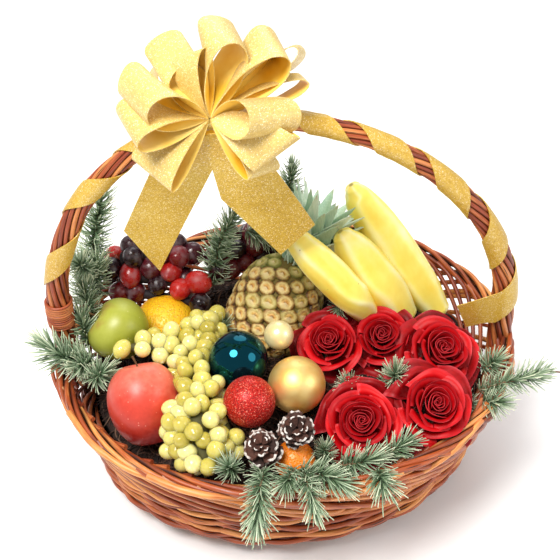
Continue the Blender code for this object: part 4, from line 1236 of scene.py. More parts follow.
def knot(mould, space):
    """The tight pleated middle of the bow."""
    rows = []
    levels = 14
    for k in range(levels):
        height = math.pi * (k + 0.5) / levels
        row = []
        for angle in circle(40):
            pleat = 1 + 0.10 * math.sin(KNOT_PLEATS * angle) * math.sin(height)
            across = math.sin(height) * math.cos(angle) * KNOT_SIZE.x
            along = math.sin(height) * math.sin(angle) * KNOT_SIZE.y
            raised = Vector((0, 0, math.cos(height) * KNOT_SIZE.z - KNOT_BACK))
            row.append(KNOT + space @ (Vector((across, along, 0)) * pleat + raised))
        rows.append(row)
    skin(mould, rows[::-1])


def bow_band(mould):
    """The band that ties the bow to the handle."""
    radius = WRAP_INNER * handle_slim(BAND_ANGLE) + BAND_REACH
    angles = [BAND_ANGLE + c * BAND_HALF / HANDLE_RISE for c in np.linspace(-1, 1, 7)]
    rows = [[round_handle(angle, radius, turn) for angle in angles] for turn in circle(36)]
    sheet(mould, rows, BAND_THICK, RIBBON_SIDES, closed=True)


def make_bow():
    space = bow_space()
    mould = Mould("pale")
    for number, loop in enumerate(BOW_LOOPS.values()):
        bow_loop(mould, *loop, space, number)
    for tail in BOW_TAILS:
        bow_tail(mould, tail)
    knot(mould, space)
    bow_band(mould)
    show("bow_ribbon", mould.mesh("bow_ribbon", RIBBON), "gold_ribbon", "bow")
    show("handle_wrap", wound_ribbon(), "gold_ribbon", "handle_ribbon")


make_bow()


# ---------------------------------------------------------------- round fruit


def apple_outline(radius, tall, rows=44):
    """Half an apple, bottom to top: hollows at the eye and at the stalk, widest above the middle."""
    outline = []
    for k in range(rows + 1):
        t = math.pi * (1 - k / rows)
        across = math.sin(t) * (1 + 0.10 * math.cos(t))
        dimple = 0.20 * math.exp(-((math.sin(t) / 0.30) ** 2))
        outline.append((max(radius * across, 0.0), radius * tall * math.cos(t) * (1 - dimple)))
    return outline


def peel_finish(name, middle, edge):
    """Citrus peel: pits all over, and a painted highlight that makes it yellower round the stalk end."""
    peel = Finish(name)
    pitted = peel.level(peel.cells(430.0), 0.05, 0.55)
    fine = peel.level(peel.cloud(160.0), 0.3, 0.7)
    # Painted highlight: the peel turns from the edge colour to the yellower middle colour towards the stalk
    # end.
    tone = peel.mark("up") * 0.8 + fine * 0.2
    colour = peel.mix(peel.level(tone, 0.1, 0.9), edge, middle)
    colour = peel.mix((1 - pitted) * 0.35, colour, edge)
    relief = (pitted, 0.55, 0.0012)
    return peel.dress(colour, 0.36, relief, subsurface_weight=0.1, subsurface_scale=0.004)


# Citrus: its peel's name, middle and edge colours, the middle a painted highlight round the stalk end;
# height as a share of its width; way of its stalk end.
CITRUS = {
    "orange": (("orange_peel", "FFCC24", "F26C00"), 0.97, (0.1, -0.45, 0.88)),
    "tangerine": (("tangerine_peel", "F08A1E", "D84C06"), 0.95, (0.0, -0.4, 0.9)),
}
# Apples: name of the skin, width as a share of the radius, radius, height as a share of the width, way of
# the stalk; colours at the top, in the middle and low down, a painted gradient of light and shade, and of
# the freckles.
APPLES = {
    "apple_green": (
        ("green_apple_skin", 0.98, 0.0335, 0.95, (-0.75, 0.15, 0.62)),
        ("AEB24C", "969A30", "74781C", "CDD090"),
    ),
    "apple_red": (
        ("red_apple_skin", 0.95, 0.0375, 1.22, (-0.10, 0.62, 0.76)),
        ("F08A74", "D24430", "8E1208", "FFC0A8"),
    ),
}
# Painted shade on the red apple's west side.
SHADE_SIDE_FROM, SHADE_SIDE_TO = -0.034, 0.006  # the red apple is darker towards its west side
STALK_RADII = (0.0012, 0.0009, 0.0013)
STALK_LEAN = Vector((0.35, 0.2, 1.0)) * 0.0135
STALK_DEPTH = 0.004


def apple_finish(node, name, colours):
    """Apple skin: painted light makes it lighter at the stalk end and deeper towards the eye; it has fine
    streaks and pale freckles.
    """
    peel = Finish(name)
    top, middle, low, freckle = colours
    streaks = peel.level(peel.cloud(26.0, peel.stretched((1.0, 1.0, 0.6)), 4.0), 0.25, 0.75)
    fine = peel.level(peel.cloud(240.0), 0.3, 0.7)
    # Painted light and shade: lighter towards the stalk end, deeper towards the eye.
    tone = peel.mark("up") * 0.62 + streaks * 0.30 + fine * 0.08
    colour = peel.ramp(tone, (0.16, low), (0.88, top), (0.54, middle))
    spots = 1 - peel.level(peel.cells(170.0), 0.07, 0.13)
    colour = peel.mix(spots * 0.45, colour, freckle)
    if node == "apple_green":
        russet = peel.level(peel.mark("up") + (peel.cloud(70.0) - 0.5) * 0.5, 0.88, 1.02)
        colour = peel.mix(russet * 0.75, colour, "9A7A3C")
    else:
        # Painted shade: the red apple turns deeper red towards its west side.
        sideways = peel.add("ShaderNodeSeparateXYZ", None, {0: peel.place()})
        west = middle_of(node).x
        shade_side = peel.level(sideways, west + SHADE_SIDE_FROM, west + SHADE_SIDE_TO, 0.60, 0.0)
        colour = peel.mix(shade_side, colour, "A01408")
    relief = (peel.cloud(55.0), 0.10, 0.001)
    return peel.dress(colour, 0.42, relief, coat_weight=0.1, coat_roughness=0.25)


def make_citrus():
    def lobes(angle, height):
        return 0.012 * math.sin(3 * angle + 5 * height)

    around = 56
    for name, (peel, tall, axis) in CITRUS.items():
        mould = Mould("up")
        radius = size_of(name).x / 2
        outline = ball_outline(radius, tall, 40)
        ups = heights_of(outline, radius, around)
        turned(mould, outline, middle_of(name), axis, around, lobes, up=ups)
        show(name + "_fruit", mould.mesh(name, [peel_finish(*peel)]), "orange_peel", name)


def make_apples():
    def lobes(angle, height):
        return 0.016 * math.cos(5 * angle) * (1 - height) + 0.012 * math.sin(2 * angle)

    around = 60
    stalks = Paths()
    for name, ((slot, share, radius, tall, axis), colours) in APPLES.items():
        mould = Mould("up")
        centre = middle_of(name)
        outline = apple_outline(radius * share, tall)
        half = radius * share * tall
        turned(mould, outline, centre, axis, around, lobes, up=heights_of(outline, half, around))
        show(name + "_fruit", mould.mesh(name, [apple_finish(name, slot, colours)]), slot, name)
        way = Vector(axis).normalized()
        top = half * 0.80
        lean = facing(axis) @ STALK_LEAN
        hollow = centre + way * top
        foot = centre + way * (top - STALK_DEPTH)
        stalks.run([foot, hollow + lean * 0.4, hollow + lean], STALK_RADII, 0.5)
    bark = mottled("fruit_stalk", 300.0, ("3A2412", "7A5630"), 0.8)
    show("apple_stalks", rods(stalks, bark, 8), "dark_willow")


# ---------------------------------------------------------------- baubles

# Baubles: radius, and way of the cap.
BAUBLES = {
    "bauble_teal": (0.0295, (0.2, 0.75, -0.6)),
    "bauble_red": (0.0248, (0.1, 0.9, -0.4)),
    "bauble_gold": (0.0282, (0.5, 0.7, -0.5)),
    "bauble_pearl": (0.0148, (-0.2, 0.9, -0.4)),
}
# The cap: radius and height as shares of the ball's radius, from inside the ball to its closed top.
BAUBLE_CAP = ((0.20, 0.955), (0.23, 0.985), (0.23, 1.10), (0.19, 1.14), (0.05, 1.16))
CAP_TEETH = 12


def glittered_red():
    """Red glitter: a tone, a gloss and a tilt for each flake."""
    red = Finish("bauble_red_finish")
    flakes = red.flakes(1300.0)
    colour = red.ramp(flakes, (0.0, "7E0806"), (1.0, "FFA088"), (0.55, "C0180E"), (0.88, "DE2A1C"))
    rough = red.level(flakes.other("Green"), 0.0, 1.0, 0.2, 0.7)
    return red.dress(colour, rough, (flakes.other("Blue"), 0.9, 0.0012), metallic=0.3)


def bauble_finishes():
    edges, grain = (0.35, 0.65), (0.05, 0.0003)
    teal, gold, pearl = ("0C4452", "125464"), ("F6BE5A", "FCDC92"), ("EAD48C", "F4E4B0")
    return {
        "bauble_teal": mottled("bauble_teal_finish", 20.0, teal, 0.06, 0.92, (0.4, 0.6)),
        "bauble_red": glittered_red(),
        "bauble_gold": mottled("bauble_gold_finish", 35.0, gold, 0.44, 0.75, edges, (900.0, *grain)),
        "bauble_pearl": mottled("bauble_pearl_finish", 45.0, pearl, 0.28, 0.35, edges, (700.0, *grain)),
    }


def make_baubles():
    def teeth(angle, _):
        return 0.06 * math.cos(CAP_TEETH * angle)

    cap_metal = mottled("bauble_cap_metal", 400.0, ("B8963E", "E8D080"), 0.3, 0.9)
    finishes = bauble_finishes()
    for name, (radius, way) in BAUBLES.items():
        mould = Mould()
        centre = middle_of(name)
        turned(mould, ball_outline(radius, 1.0, 48), centre, (0.1, -0.2, 1.0), 72)
        cap = [(radius * share, radius * height) for share, height in BAUBLE_CAP]
        turned(mould, cap, centre, way, 24, teeth, 1)
        show(name + "_ball", mould.mesh(name, [finishes[name], cap_metal]), name + "_finish", name)


# ---------------------------------------------------------------- pineapple

PINEAPPLE = Vector((-0.011, 0.041, 0.164))
PINEAPPLE_AXIS = Vector((0.50, 0.42, 0.76)).normalized()
PINEAPPLE_HALF = 0.061
PINEAPPLE_RADIUS = 0.047
PINEAPPLE_TURN = facing(PINEAPPLE_AXIS)
EYES = 128
EYE_WIDTH = 0.0212
EYE_SINK = 0.0022
EYE_THICK = 0.62  # as a share of its width
# One eye, rim to middle: share of its reach, and height.
EYE_PROFILE = (
    (1.0, -0.12),
    (1.0, 0.04),
    (0.90, 0.15),
    (0.62, 0.21),
    (0.36, 0.15),
    (0.16, 0.21),
    (0.03, 0.23),
)
CROWN_LEAVES = 44
CROWN_REACH = 0.098
CROWN_SINK = 0.010
CROWN_NECK, CROWN_SPREAD = 0.003, 0.008
BODY_UNDER_EYES = 0.0025
LEAF_HALF = 0.0175
LEAF_THICK = 0.0009
LEAF_BEND = 0.30
LEAF_CHANNEL = -0.35


def pineapple_girth(share):
    """Radius of the body at this share of its height."""
    return PINEAPPLE_RADIUS * max(0.0, 1 - abs(2 * share - 1.04) ** 2.6) ** 0.5


def eye_tile():
    """One eye: a raised six-sided scale with a sunk middle and a dry point that leans to the crown."""
    mould = Mould("centre", "point")
    sixth = math.pi / 3
    rings, centres, points = [], [], []
    for share, rise in EYE_PROFILE:
        ring, point_marks = [], []
        for angle in circle(18):
            six = 1 / max(abs(math.cos((angle + sixth / 2) % sixth - sixth / 2)), 0.6)
            reach = 0.5 * share * (0.55 + 0.45 * six * 0.94)
            towards_crown = max(0.0, math.cos(angle + math.pi / 2)) ** 2
            peak = 0.16 * math.exp(-(((share - 0.3) / 0.22) ** 2)) * towards_crown
            along = reach * 0.86 * math.sin(angle) + peak * 0.9
            ring.append((reach * math.cos(angle), along, rise + peak * 0.6))
            point_marks.append(min(1.0, peak * 7))
        rings.append(ring)
        centres.append([1 - share] * len(ring))
        points.append(point_marks)
    skin(mould, rings, centre=centres, point=points)
    return mould.mesh("eye", [])


def eye_finish():
    """Pineapple skin: pale scales with dark middles and seams, greener towards the crown."""
    flesh = Finish("pineapple_skin")
    fine = flesh.cloud(260.0)
    shade = flesh.mark("centre") * 0.9 + (fine - 0.5) * 0.5
    colour = flesh.ramp(
        shade, (0.0, "54381A"), (0.90, "80461C"), (0.14, "9A6E30"), (0.38, "E8D088"), (0.66, "D09A48")
    )
    green = flesh.level(flesh.mark("tone") + (fine - 0.5) * 0.8, 0.30, 0.85)
    colour = flesh.mix(green * 0.6, colour, "8C9A46")
    colour = flesh.mix(flesh.mark("point") * 0.8, colour, "E8D6A6")
    return flesh.dress(colour, 0.55, (flesh.cloud(420.0), 0.5, 0.0012))


def leaf_finish():
    """Crown leaves: pale green with fine lines, and dry tips."""
    leaf = Finish("pineapple_leaf")
    lines = leaf.cloud(500.0, leaf.stretched((1.0, 1.0, 0.25)))
    tone = leaf.mark("tone") * 0.5 + lines * 0.5
    colour = leaf.ramp(tone, (0.2, "9CC2A4"), (0.8, "ECF6E4"), (0.5, "C6DEC6"))
    colour = leaf.mix(leaf.level(leaf.mark("tip"), 0.93, 1.0) * 0.5, colour, "B09A60")
    return leaf.dress(colour, 0.5, (lines, 0.2, 0.0005))


def crown_leaf(mould, foot, way, side, reach, rng):
    """A stiff curved leaf: channelled, wide low down, pointed, bent outwards."""
    outward = side.cross(way).normalized()
    steps, columns = np.linspace(0, 1, 12), np.linspace(-1, 1, 7)
    rows = []
    for t in steps:
        middle = foot + way * reach * t + outward * reach * LEAF_BEND * t * t
        half = LEAF_HALF * (1 - t) ** 0.6 * (0.75 + 0.5 * math.sin(math.pi * min(1, t * 1.3))) + 0.0002
        sunk = outward * half * LEAF_CHANNEL
        rows.append([middle + side * half * c + sunk * (1 - c * c) for c in columns])
    sheet(mould, rows, LEAF_THICK, tip=steps[:, None], tone=rng.uniform(0, 1))


def pineapple_eyes(rng):
    """Eyes laid over the body in a spiral, each square to its face."""
    places, ways, stands, sizes, tones = [], [], [], [], []
    for k in range(EYES):
        share = 0.035 + 0.93 * (k + 0.5) / EYES
        girth = pineapple_girth(share)
        above, below = pineapple_girth(min(share + 0.02, 0.999)), pineapple_girth(max(share - 0.02, 0.001))
        slope = (above - below) / (0.08 * PINEAPPLE_HALF)
        radial = polar(PINEAPPLE_TURN, 1.0, GOLDEN * k)
        centre = PINEAPPLE + radial * (girth - EYE_SINK)
        places.append(centre + PINEAPPLE_AXIS * PINEAPPLE_HALF * (2 * share - 1))
        ways.append((radial - PINEAPPLE_AXIS * slope).normalized())
        stands.append(PINEAPPLE_AXIS + some_way(rng, 0.3))
        width = EYE_WIDTH * rng.uniform(0.86, 1.08) * (0.62 + 0.38 * min(1.0, girth / PINEAPPLE_RADIUS))
        sizes.append((width, width, width * EYE_THICK))
        tones.append(min(1.0, max(0.0, share - 0.25 + rng.uniform(-0.35, 0.35))))
    return copies(eye_tile(), places, ways, stands, sizes, tones, eye_finish())


def pineapple_body():
    """The dark body that shows between the eyes."""
    shares = np.linspace(0.03, 0.985, 24)
    girths = [max(pineapple_girth(share) - BODY_UNDER_EYES, 0.001) for share in shares]
    outline = [(girth, PINEAPPLE_HALF * (2 * share - 1)) for girth, share in zip(girths, shares)]
    mould = Mould()
    turned(mould, outline, PINEAPPLE, PINEAPPLE_AXIS, 40)
    return mould.mesh("pineapple_body", [mottled("pineapple_gaps", 200.0, ("5E4C1E", "8A7A3A"), 0.8)])


def pineapple_crown(rng):
    """Leaves in a spiral, the inner ones long and upright, the outer ones short and spread."""
    mould = Mould("tip", "tone")
    neck = PINEAPPLE + PINEAPPLE_AXIS * (PINEAPPLE_HALF - CROWN_SINK)
    for k in range(CROWN_LEAVES):
        share = k / CROWN_LEAVES
        radial = polar(PINEAPPLE_TURN, 1.0, GOLDEN * k + 0.6)
        way = (PINEAPPLE_AXIS + radial * (0.05 + 0.38 * share)).normalized()
        side = PINEAPPLE_AXIS.cross(radial).normalized()
        reach = CROWN_REACH * (1.0 - 0.42 * share**1.5) * rng.uniform(0.92, 1.0)
        crown_leaf(mould, neck + radial * (CROWN_NECK + CROWN_SPREAD * share), way, side, reach, rng)
    return mould.mesh("pineapple_crown", [leaf_finish()])


def make_pineapple():
    rng = random.Random(21)
    show("pineapple_eyes", pineapple_eyes(rng), "pineapple_skin", "pineapple")
    show("pineapple_body", pineapple_body(), "pineapple_skin")
    show("pineapple_crown", pineapple_crown(rng), "pineapple_skin")


# ---------------------------------------------------------------- bananas

# Stations of each banana in mm, from its upper end: a place and a radius.
BANANAS = {
    "banana_front": (
        (20, 12, 281, 13.5), (34, 6, 265, 17.5), (52.2, 2, 242.5, 18.8), (70.8, -1, 217.5, 17.6),
        (84.6, 11, 185.6, 14),
    ),
    "banana_middle": (
        (66, 49, 255, 12), (72, 47, 245, 18.5), (83, 43, 227, 23.6), (98, 37, 204, 25.6),
        (113, 34, 179, 23.6), (125, 31, 160, 18),
    ),
    "banana_back": (
        (80, 101, 276, 9.5), (86, 100, 264, 16), (100, 92, 242, 22), (118, 82, 215, 24),
        (136, 70, 188, 23.6), (152, 60, 165, 21.2), (166, 50, 146, 15),
    ),
}
BANANA_RIDGES = 5
BANANA_AROUND = 50
BANANA_TIP, BANANA_FOOT = 0.18, 0.10  # how thin the two ends get, as a share of the girth there


def banana_finish():
    """Banana skin: pale along its ridges, greener at its ends, with a few brown specks."""
    peel = Finish("banana_skin")
    along = peel.mark("along")
    lines = peel.cloud(60.0, peel.stretched((1.0, 1.0, 0.3)), 4.0)
    tone = peel.cloud(32.0) * 0.6 + peel.mark("ridge") * 0.25 + lines * 0.3
    colour = peel.ramp(tone, (0.22, "F6CE30"), (0.85, "FFFAC0"), (0.52, "FEEA70"))
    from_middle = peel.math("ABSOLUTE", along - 0.5) * 2
    colour = peel.mix(peel.level(from_middle, 0.86, 1.0) * 0.4, colour, "C8B840")
    spots = 1 - peel.level(peel.cells(75.0), 0.03, 0.06)
    colour = peel.mix(spots * 0.7, colour, "8A5A1C")
    colour = peel.mix(peel.level(along, 0.0, 0.010, 0.8, 0.0), colour, "8A7430")
    relief = (lines, 0.10, 0.0006)
    return peel.dress(colour, 0.38, relief, subsurface_weight=0.12, subsurface_scale=0.004)


def banana_end(line, end, inner, thin):
    """Stations beyond one end of a banana, from its tip inwards: each is a place and a radius."""
    step = (line[end] - line[inner])[:3]
    out = step / np.linalg.norm(step)
    place, girth = line[end][:3], line[end][3]
    found = []
    for t in np.linspace(1, 0.12, 7):
        found.append((*(place + out * girth * 0.6 * t), girth * max(thin, math.sqrt(1 - t**2))))
    return found


def banana(name, stations, finish):
    """A five-ridged body along a bent line."""
    line = smooth([(*place, girth) for place, girth in in_metres(stations)], 7)
    tips, tails = banana_end(line, 0, 1, BANANA_TIP), banana_end(line, -1, -2, BANANA_FOOT)
    line = np.array([*tips, *line, *tails[::-1]])
    places = [Vector(station[:3]) for station in line]
    rings, ridges = [], []
    last = len(line) - 1
    for k, place in enumerate(places):
        turn = facing(places[min(k + 1, last)] - places[max(k - 1, 0)])
        ring, crests = [], []
        for angle in circle(BANANA_AROUND):
            crest = (0.5 + 0.5 * math.cos(BANANA_RIDGES * angle)) ** 3
            ring.append(place + polar(turn, line[k][3] * (0.955 + 0.055 * crest), angle + 0.3))
            crests.append(crest)
        rings.append(ring)
        ridges.append(crests)
    alongs = np.array([k / last for k in range(len(line))])
    mould = Mould("ridge", "along")
    skin(mould, rings, ridge=ridges, along=alongs[:, None])
    return mould.mesh(name, [finish])


def make_bananas():
    finish = banana_finish()
    for name, stations in BANANAS.items():
        show(name + "_fruit", banana(name, stations, finish), "banana_skin", name)


# ---------------------------------------------------------------- grapes

# Bunches: arms of stations in mm, each a place and the reach of the berries there; berry radius; range of
# tones; sideways spread.
GRAPES = {
    "grapes_green": (
        (
            (
                (-160, -34, 195, 11), (-136, -30, 190, 16), (-110, -16, 181, 20), (-95, -30, 178, 22),
                (-88, -62, 181, 23), (-85, -95, 184, 24), (-85, -128, 181, 26.5), (-81, -151, 168, 24),
                (-76, -167, 152, 17),
            ),
            ((-94, -20, 180, 20), (-78, 6, 182, 19), (-72, 14, 184, 15)),
            ((-102, -112, 176, 18), (-104, -134, 170, 19), (-97, -154, 158, 16.5)),
            ((-66, -112, 176, 17), (-60, -132, 170, 17.5), (-62, -150, 160, 15)),
        ),
        0.0086,
        (0.0, 1.0),
        1.5,
    ),
    "grapes_dark_left": (
        (
            ((-170, 100, 196, 27), (-140, 98, 201, 29), (-106, 101, 196, 27)),
            ((-166, 88, 184, 19.5), (-134, 80, 185, 20), (-92, 72, 182, 19.5)),
            ((-172, 80, 170, 15), (-120, 66, 168, 16), (-80, 52, 168, 15)),
        ),
        0.0120,
        (0.0, 1.0),
        1.3,
    ),
    "grapes_dark_right": (
        (
            ((-66, 110, 190, 27), (-30, 114, 193, 27), (6, 117, 191, 22)),
            ((-70, 90, 186, 20), (-34, 94, 186, 19)),
        ),
        0.0120,
        (0.0, 0.6),
        1.3,
    ),
}
BERRY_SPACING = 1.38
BERRY_TRIES = 2600
TRY_STEP = 0.754878  # spreads the tries evenly along an arm
# Balls that fill the pineapple: distance along its axis from its middle, and radius.
PINEAPPLE_BALLS = ((-0.025, 0.043), (0.0, 0.050), (0.025, 0.043))
WALL_CLEARANCE, RIM_CLEARANCE = 0.013, 0.008
STEM_RADII = (0.0011, 0.0008, 0.0006)


def along_path(stations, share):
    """The place, reach and direction at this share of an arm's length."""
    points = [Vector(p) for p, _ in stations]
    lengths = [(b - a).length for a, b in zip(points, points[1:])]
    target = share * sum(lengths)
    for k, length in enumerate(lengths):
        if target <= length or k == len(lengths) - 1:
            break
        target -= length
    t = target / length
    reach = stations[k][1] + (stations[k + 1][1] - stations[k][1]) * t
    return points[k].lerp(points[k + 1], t), reach, (points[k + 1] - points[k]).normalized()


def solid_balls():
    """Balls that fill the fruit laid before the grapes, from their solids' boxes."""
    names = ("orange", "apple_green", "apple_red", *BAUBLES)
    balls = [(middle_of(name), size_of(name).x / 2) for name in names]
    return balls + [(PINEAPPLE + PINEAPPLE_AXIS * step, radius) for step, radius in PINEAPPLE_BALLS]


def berry_places(arms, berry, spread, taken):
    """Places for berries all over a bunch, close together and clear of everything laid before."""
    places = []
    for stations in arms:
        for k in range(BERRY_TRIES):
            share = (k * TRY_STEP) % 1.0
            middle, reach, along = along_path(stations, share)
            side = along.cross(Vector((0, 0, 1))).normalized()
            out = side * math.cos(GOLDEN * k) + side.cross(along) * math.sin(GOLDEN * k)
            if share < 0.04 or share > 0.96:
                out = (out * 0.6 + along * (0.8 if share > 0.5 else -0.8)).normalized()
            if out.z < -0.45:
                continue
            off = out * (reach - berry) * (1 - 0.28 * (k % 3 == 2))
            spot = middle + off + side * off.dot(side) * (spread - 1)
            if any((spot - other).length < BERRY_SPACING * berry for other, _, _ in places):
                continue
            if any((spot - centre).length < (berry + radius) * 0.96 for centre, radius in taken):
                continue
            if inside_wall(spot, berry):
                places.append((spot, out, middle))
    return places


def inside_wall(spot, radius):
    """Whether a ball clears the wall, or lies above the rim."""
    if spot.z > RIM_HEIGHT + RIM_CLEARANCE + radius:
        return True
    a, b = oval(max(spot.z - radius / 2, 0.0))
    clear = WALL_CLEARANCE + radius
    return (spot.x / (a - clear)) ** 2 + (spot.y / (b - clear)) ** 2 <= 1


def berry():
    """One ball of a bunch, with a mark that grows towards its stalk."""
    mould = Mould("stalk")
    around = 16
    outline = ball_outline(1.0, 1.0, 11)
    turned(mould, outline, Vector(), (0, 0, 1), around, stalk=heights_of(outline, 1.0, around))
    return mould.mesh("berry", [], 180)


def green_grape():
    """Clear green skin with a soft glow, browner at the stalk."""
    green = Finish("grapes_green_skin")
    tone = green.mark("tone") * 0.6 + green.cloud(140.0) * 0.4
    colour = green.ramp(tone, (0.15, "B0A040"), (0.85, "F0E8A4"), (0.5, "D4C868"))
    colour = green.mix(green.level(green.mark("stalk"), 0.93, 1.0) * 0.7, colour, "8A7434")
    green.shader.inputs["IOR"].default_value = 1.36
    return green.dress(
        colour,
        0.16,
        subsurface_weight=0.8,
        subsurface_scale=0.006,
        subsurface_radius=(1.0, 0.9, 0.35),
        transmission_weight=0.12,
        coat_weight=0.4,
    )


def dark_grape():
    """Dark and red skin with a pale bloom."""
    dark = Finish("grapes_dark_skin")
    bloom = dark.cloud(120.0, None, 4.0)
    tone = dark.mark("tone")
    colour = dark.ramp(tone, (0.0, "1A0A10"), (1.0, "D02A22"), (0.5, "3C101A"), (0.7, "941818"))
    colour = dark.mix(dark.level(bloom, 0.48, 0.74) * 0.34, colour, "94888E")
    colour = dark.mix(dark.level(dark.mark("stalk"), 0.94, 1.0) * 0.6, colour, "6A5030")
    rough = dark.level(bloom, 0.4, 0.7, 0.18, 0.5)
    return dark.dress(colour, rough, subsurface_weight=0.1, subsurface_scale=0.003)


def berries(places, size, tones, rng, finish):
    """Berries at these places, stalk inwards, each with its own lean, size and tone."""
    ways = [out * -1 + some_way(rng, 0.5) for _, out, _ in places]
    sizes = []
    for _ in places:
        girth = size * rng.uniform(0.90, 1.07)
        sizes.append((girth, girth, girth * rng.uniform(1.04, 1.26)))
    drawn = [tones[0] + (tones[1] - tones[0]) * rng.random() for _ in places]
    stands = [(1, 0, 0)] * len(places)
    return copies(berry(), [spot for spot, _, _ in places], ways, stands, sizes, drawn, finish)


def bunch_core(arms, size, finish):
    """The dark middle of a bunch: painted shade that shows between its berries."""
    inner = Paths()
    for stations in arms:
        radii = [max(reach * 0.34, reach - size * 1.9) for _, reach in stations]
        inner.run([place for place, _ in stations], radii, 0.5)
    return rods(inner, finish, 12)


def make_grapes():
    green = green_grape(), mottled("grape_shade", 200.0, ("34320F", "4E4A1A"), 0.7)
    dark = dark_grape(), mottled("grape_dark_shade", 200.0, ("0E0608", "22101A"), 0.7)
    taken = solid_balls()
    stems = Paths()
    for name, (arms, size, tones, spread) in GRAPES.items():
        rng = random.Random(name)
        skin_of, shade = green if name == "grapes_green" else dark
        arms = [in_metres(stations) for stations in arms]
        places = berry_places(arms, size, spread, taken)
        taken += [(spot, size) for spot, _, _ in places]
        show(name + "_berries", berries(places, size, tones, rng, skin_of), name + "_skin", name)
        for spot, _, middle in places:
            bend = middle.lerp(spot, 0.55) + Vector((0, 0, 0.001))
            stems.run([middle, bend, spot], STEM_RADII, rng.random())
        show(name + "_core", bunch_core(arms, size, shade), name + "_skin")
    stem = mottled("grape_stalk", 200.0, ("7A7030", "B4A858"), 0.6)
    show("grape_stalks", rods(stems, stem, 6), "grapes_green_skin")


# ---------------------------------------------------------------- roses

# Roses: middle of the flower, radius, and way that it faces.
ROSES = {
    "rose_back_left": ((0.045, -0.031, 0.184), 0.0310, (-0.05, -0.40, 0.92)),
    "rose_back_middle": ((0.0992, -0.0214, 0.1790), 0.0320, (0.0, -0.45, 0.89)),
    "rose_back_right": ((0.156, -0.046, 0.179), 0.0360, (0.18, -0.42, 0.89)),
    "rose_front_left": ((0.069, -0.131, 0.176), 0.0350, (-0.05, -0.55, 0.83)),
    "rose_front_right": ((0.140, -0.121, 0.182), 0.0352, (0.15, -0.50, 0.85)),
}
PETALS = 27
LOOSE_PETALS = 6
BACK_LIFT = 0.16  # how much higher a petal at the back of a rose stands
PETAL_THICK = 0.018  # as a share of the rose's radius


def petal(mould, centre, turn, radius, share, start, rng):
    """A cupped petal: it rises from the calyx, opens outwards and rolls over at its lip."""
    rows, columns = 12, 15
    half = 2.1 - 1.30 * share**0.5
    lip_reach = radius * (0.05 + 0.87 * share)
    foot_reach = radius * (0.03 + 0.42 * share)
    lip_height = radius * (0.36 + 0.16 * math.sin(math.pi * min(1.0, 1.25 * share)) - 0.42 * share**3)
    foot_height = -radius * (0.20 + 0.55 * share**0.6)
    roll = radius * (0.015 + 0.22 * share**1.2) * rng.uniform(0.75, 1.25)
    point = radius * 0.09 * share * rng.uniform(0.4, 1.3)
    lip_height += radius * BACK_LIFT * share**2 * max(0.0, math.sin(start))
    waves = rng.uniform(0, TURN)
    grid, edges = [], []
    for v in np.linspace(0, 1, rows):
        row, marks = [], []
        over = max(0.0, (v - 0.72) / 0.28)
        for u in np.linspace(-1, 1, columns):
            reach = foot_reach + (lip_reach - foot_reach) * (1 - (1 - v) ** 1.7)
            rolled = roll * over**1.6 * (0.7 + 0.3 * math.cos(2 * u + waves))
            reach += rolled + radius * 0.045 * u * (1 - share * 0.5)
            reach += radius * 0.02 * math.sin(5 * u + waves) * v
            height = foot_height + (lip_height - foot_height) * v**0.85
            height -= roll * 0.9 * over**2 + radius * 0.30 * u * u * v * (0.35 + 0.65 * share)
            height += point * (1 - abs(u)) ** 2 * v**3
            angle = start + u * half * (0.55 + 0.45 * math.sin(math.pi * min(v, 0.6) / 1.2))
            row.append(centre + polar(turn, reach, angle, height))
            # The edge mark takes the painted highlight on the lip and sides.
            marks.append(max(over**2 * (v > 0.95), max(0.0, (abs(u) - 0.90) / 0.1) * v))
        grid.append(row)
        edges.append(marks)
    # The depth mark darkens the inner and loose petals as painted shade.
    depth = share if share < 1.1 else -0.4
    sheet(mould, grid, radius * PETAL_THICK, edge=edges, depth=depth, tone=rng.random())


def petal_finish():
    """Dark red velvet, with painted shade that darkens the inner and loose petals and a painted highlight
    that makes the lips pale.
    """
    velvet = Finish("rose_petal")
    veins = velvet.cloud(160.0, None, 4.0)
    tone = velvet.mark("tone") * 0.35 + velvet.level(veins, 0.3, 0.7) * 0.25 + velvet.mark("depth") * 0.40
    colour = velvet.ramp(tone, (0.0, "6E0004"), (1.0, "D40810"), (0.5, "A80008"))
    colour = velvet.mix(velvet.mark("edge") * 0.32, colour, "E84450")
    velvet.shader.inputs["Specular IOR Level"].default_value = 0.25
    return velvet.dress(colour, 0.5, (veins, 0.25, 0.0008))


def make_roses():
    velvet = petal_finish()
    for number, (name, (centre, radius, way)) in enumerate(ROSES.items()):
        rng = random.Random(number + 30)
        mould = Mould("edge", "depth", "tone")
        for k in range(PETALS + LOOSE_PETALS):
            share = (k / (PETALS - 1)) ** 1.35 if k < PETALS else 1.16 + 0.03 * (k - PETALS)
            start = GOLDEN * k + rng.uniform(-0.25, 0.25)
            petal(mould, Vector(centre), facing(way), radius, share, start, rng)
        show(name + "_petals", mould.mesh(name, [velvet], 180), "rose_petal", name)


# ---------------------------------------------------------------- pine cones

# Pine cones: foot, way of the tip, radius and height.
CONES = {
    "pine_cone_left": ((-0.024, -0.1545, 0.165), (-0.10, -0.35, 0.93), 0.0158, 0.030),
    "pine_cone_right": ((0.0065, -0.1455, 0.180), (0.05, -0.45, 0.89), 0.0150, 0.027),
}
CONE_SCALES = 32


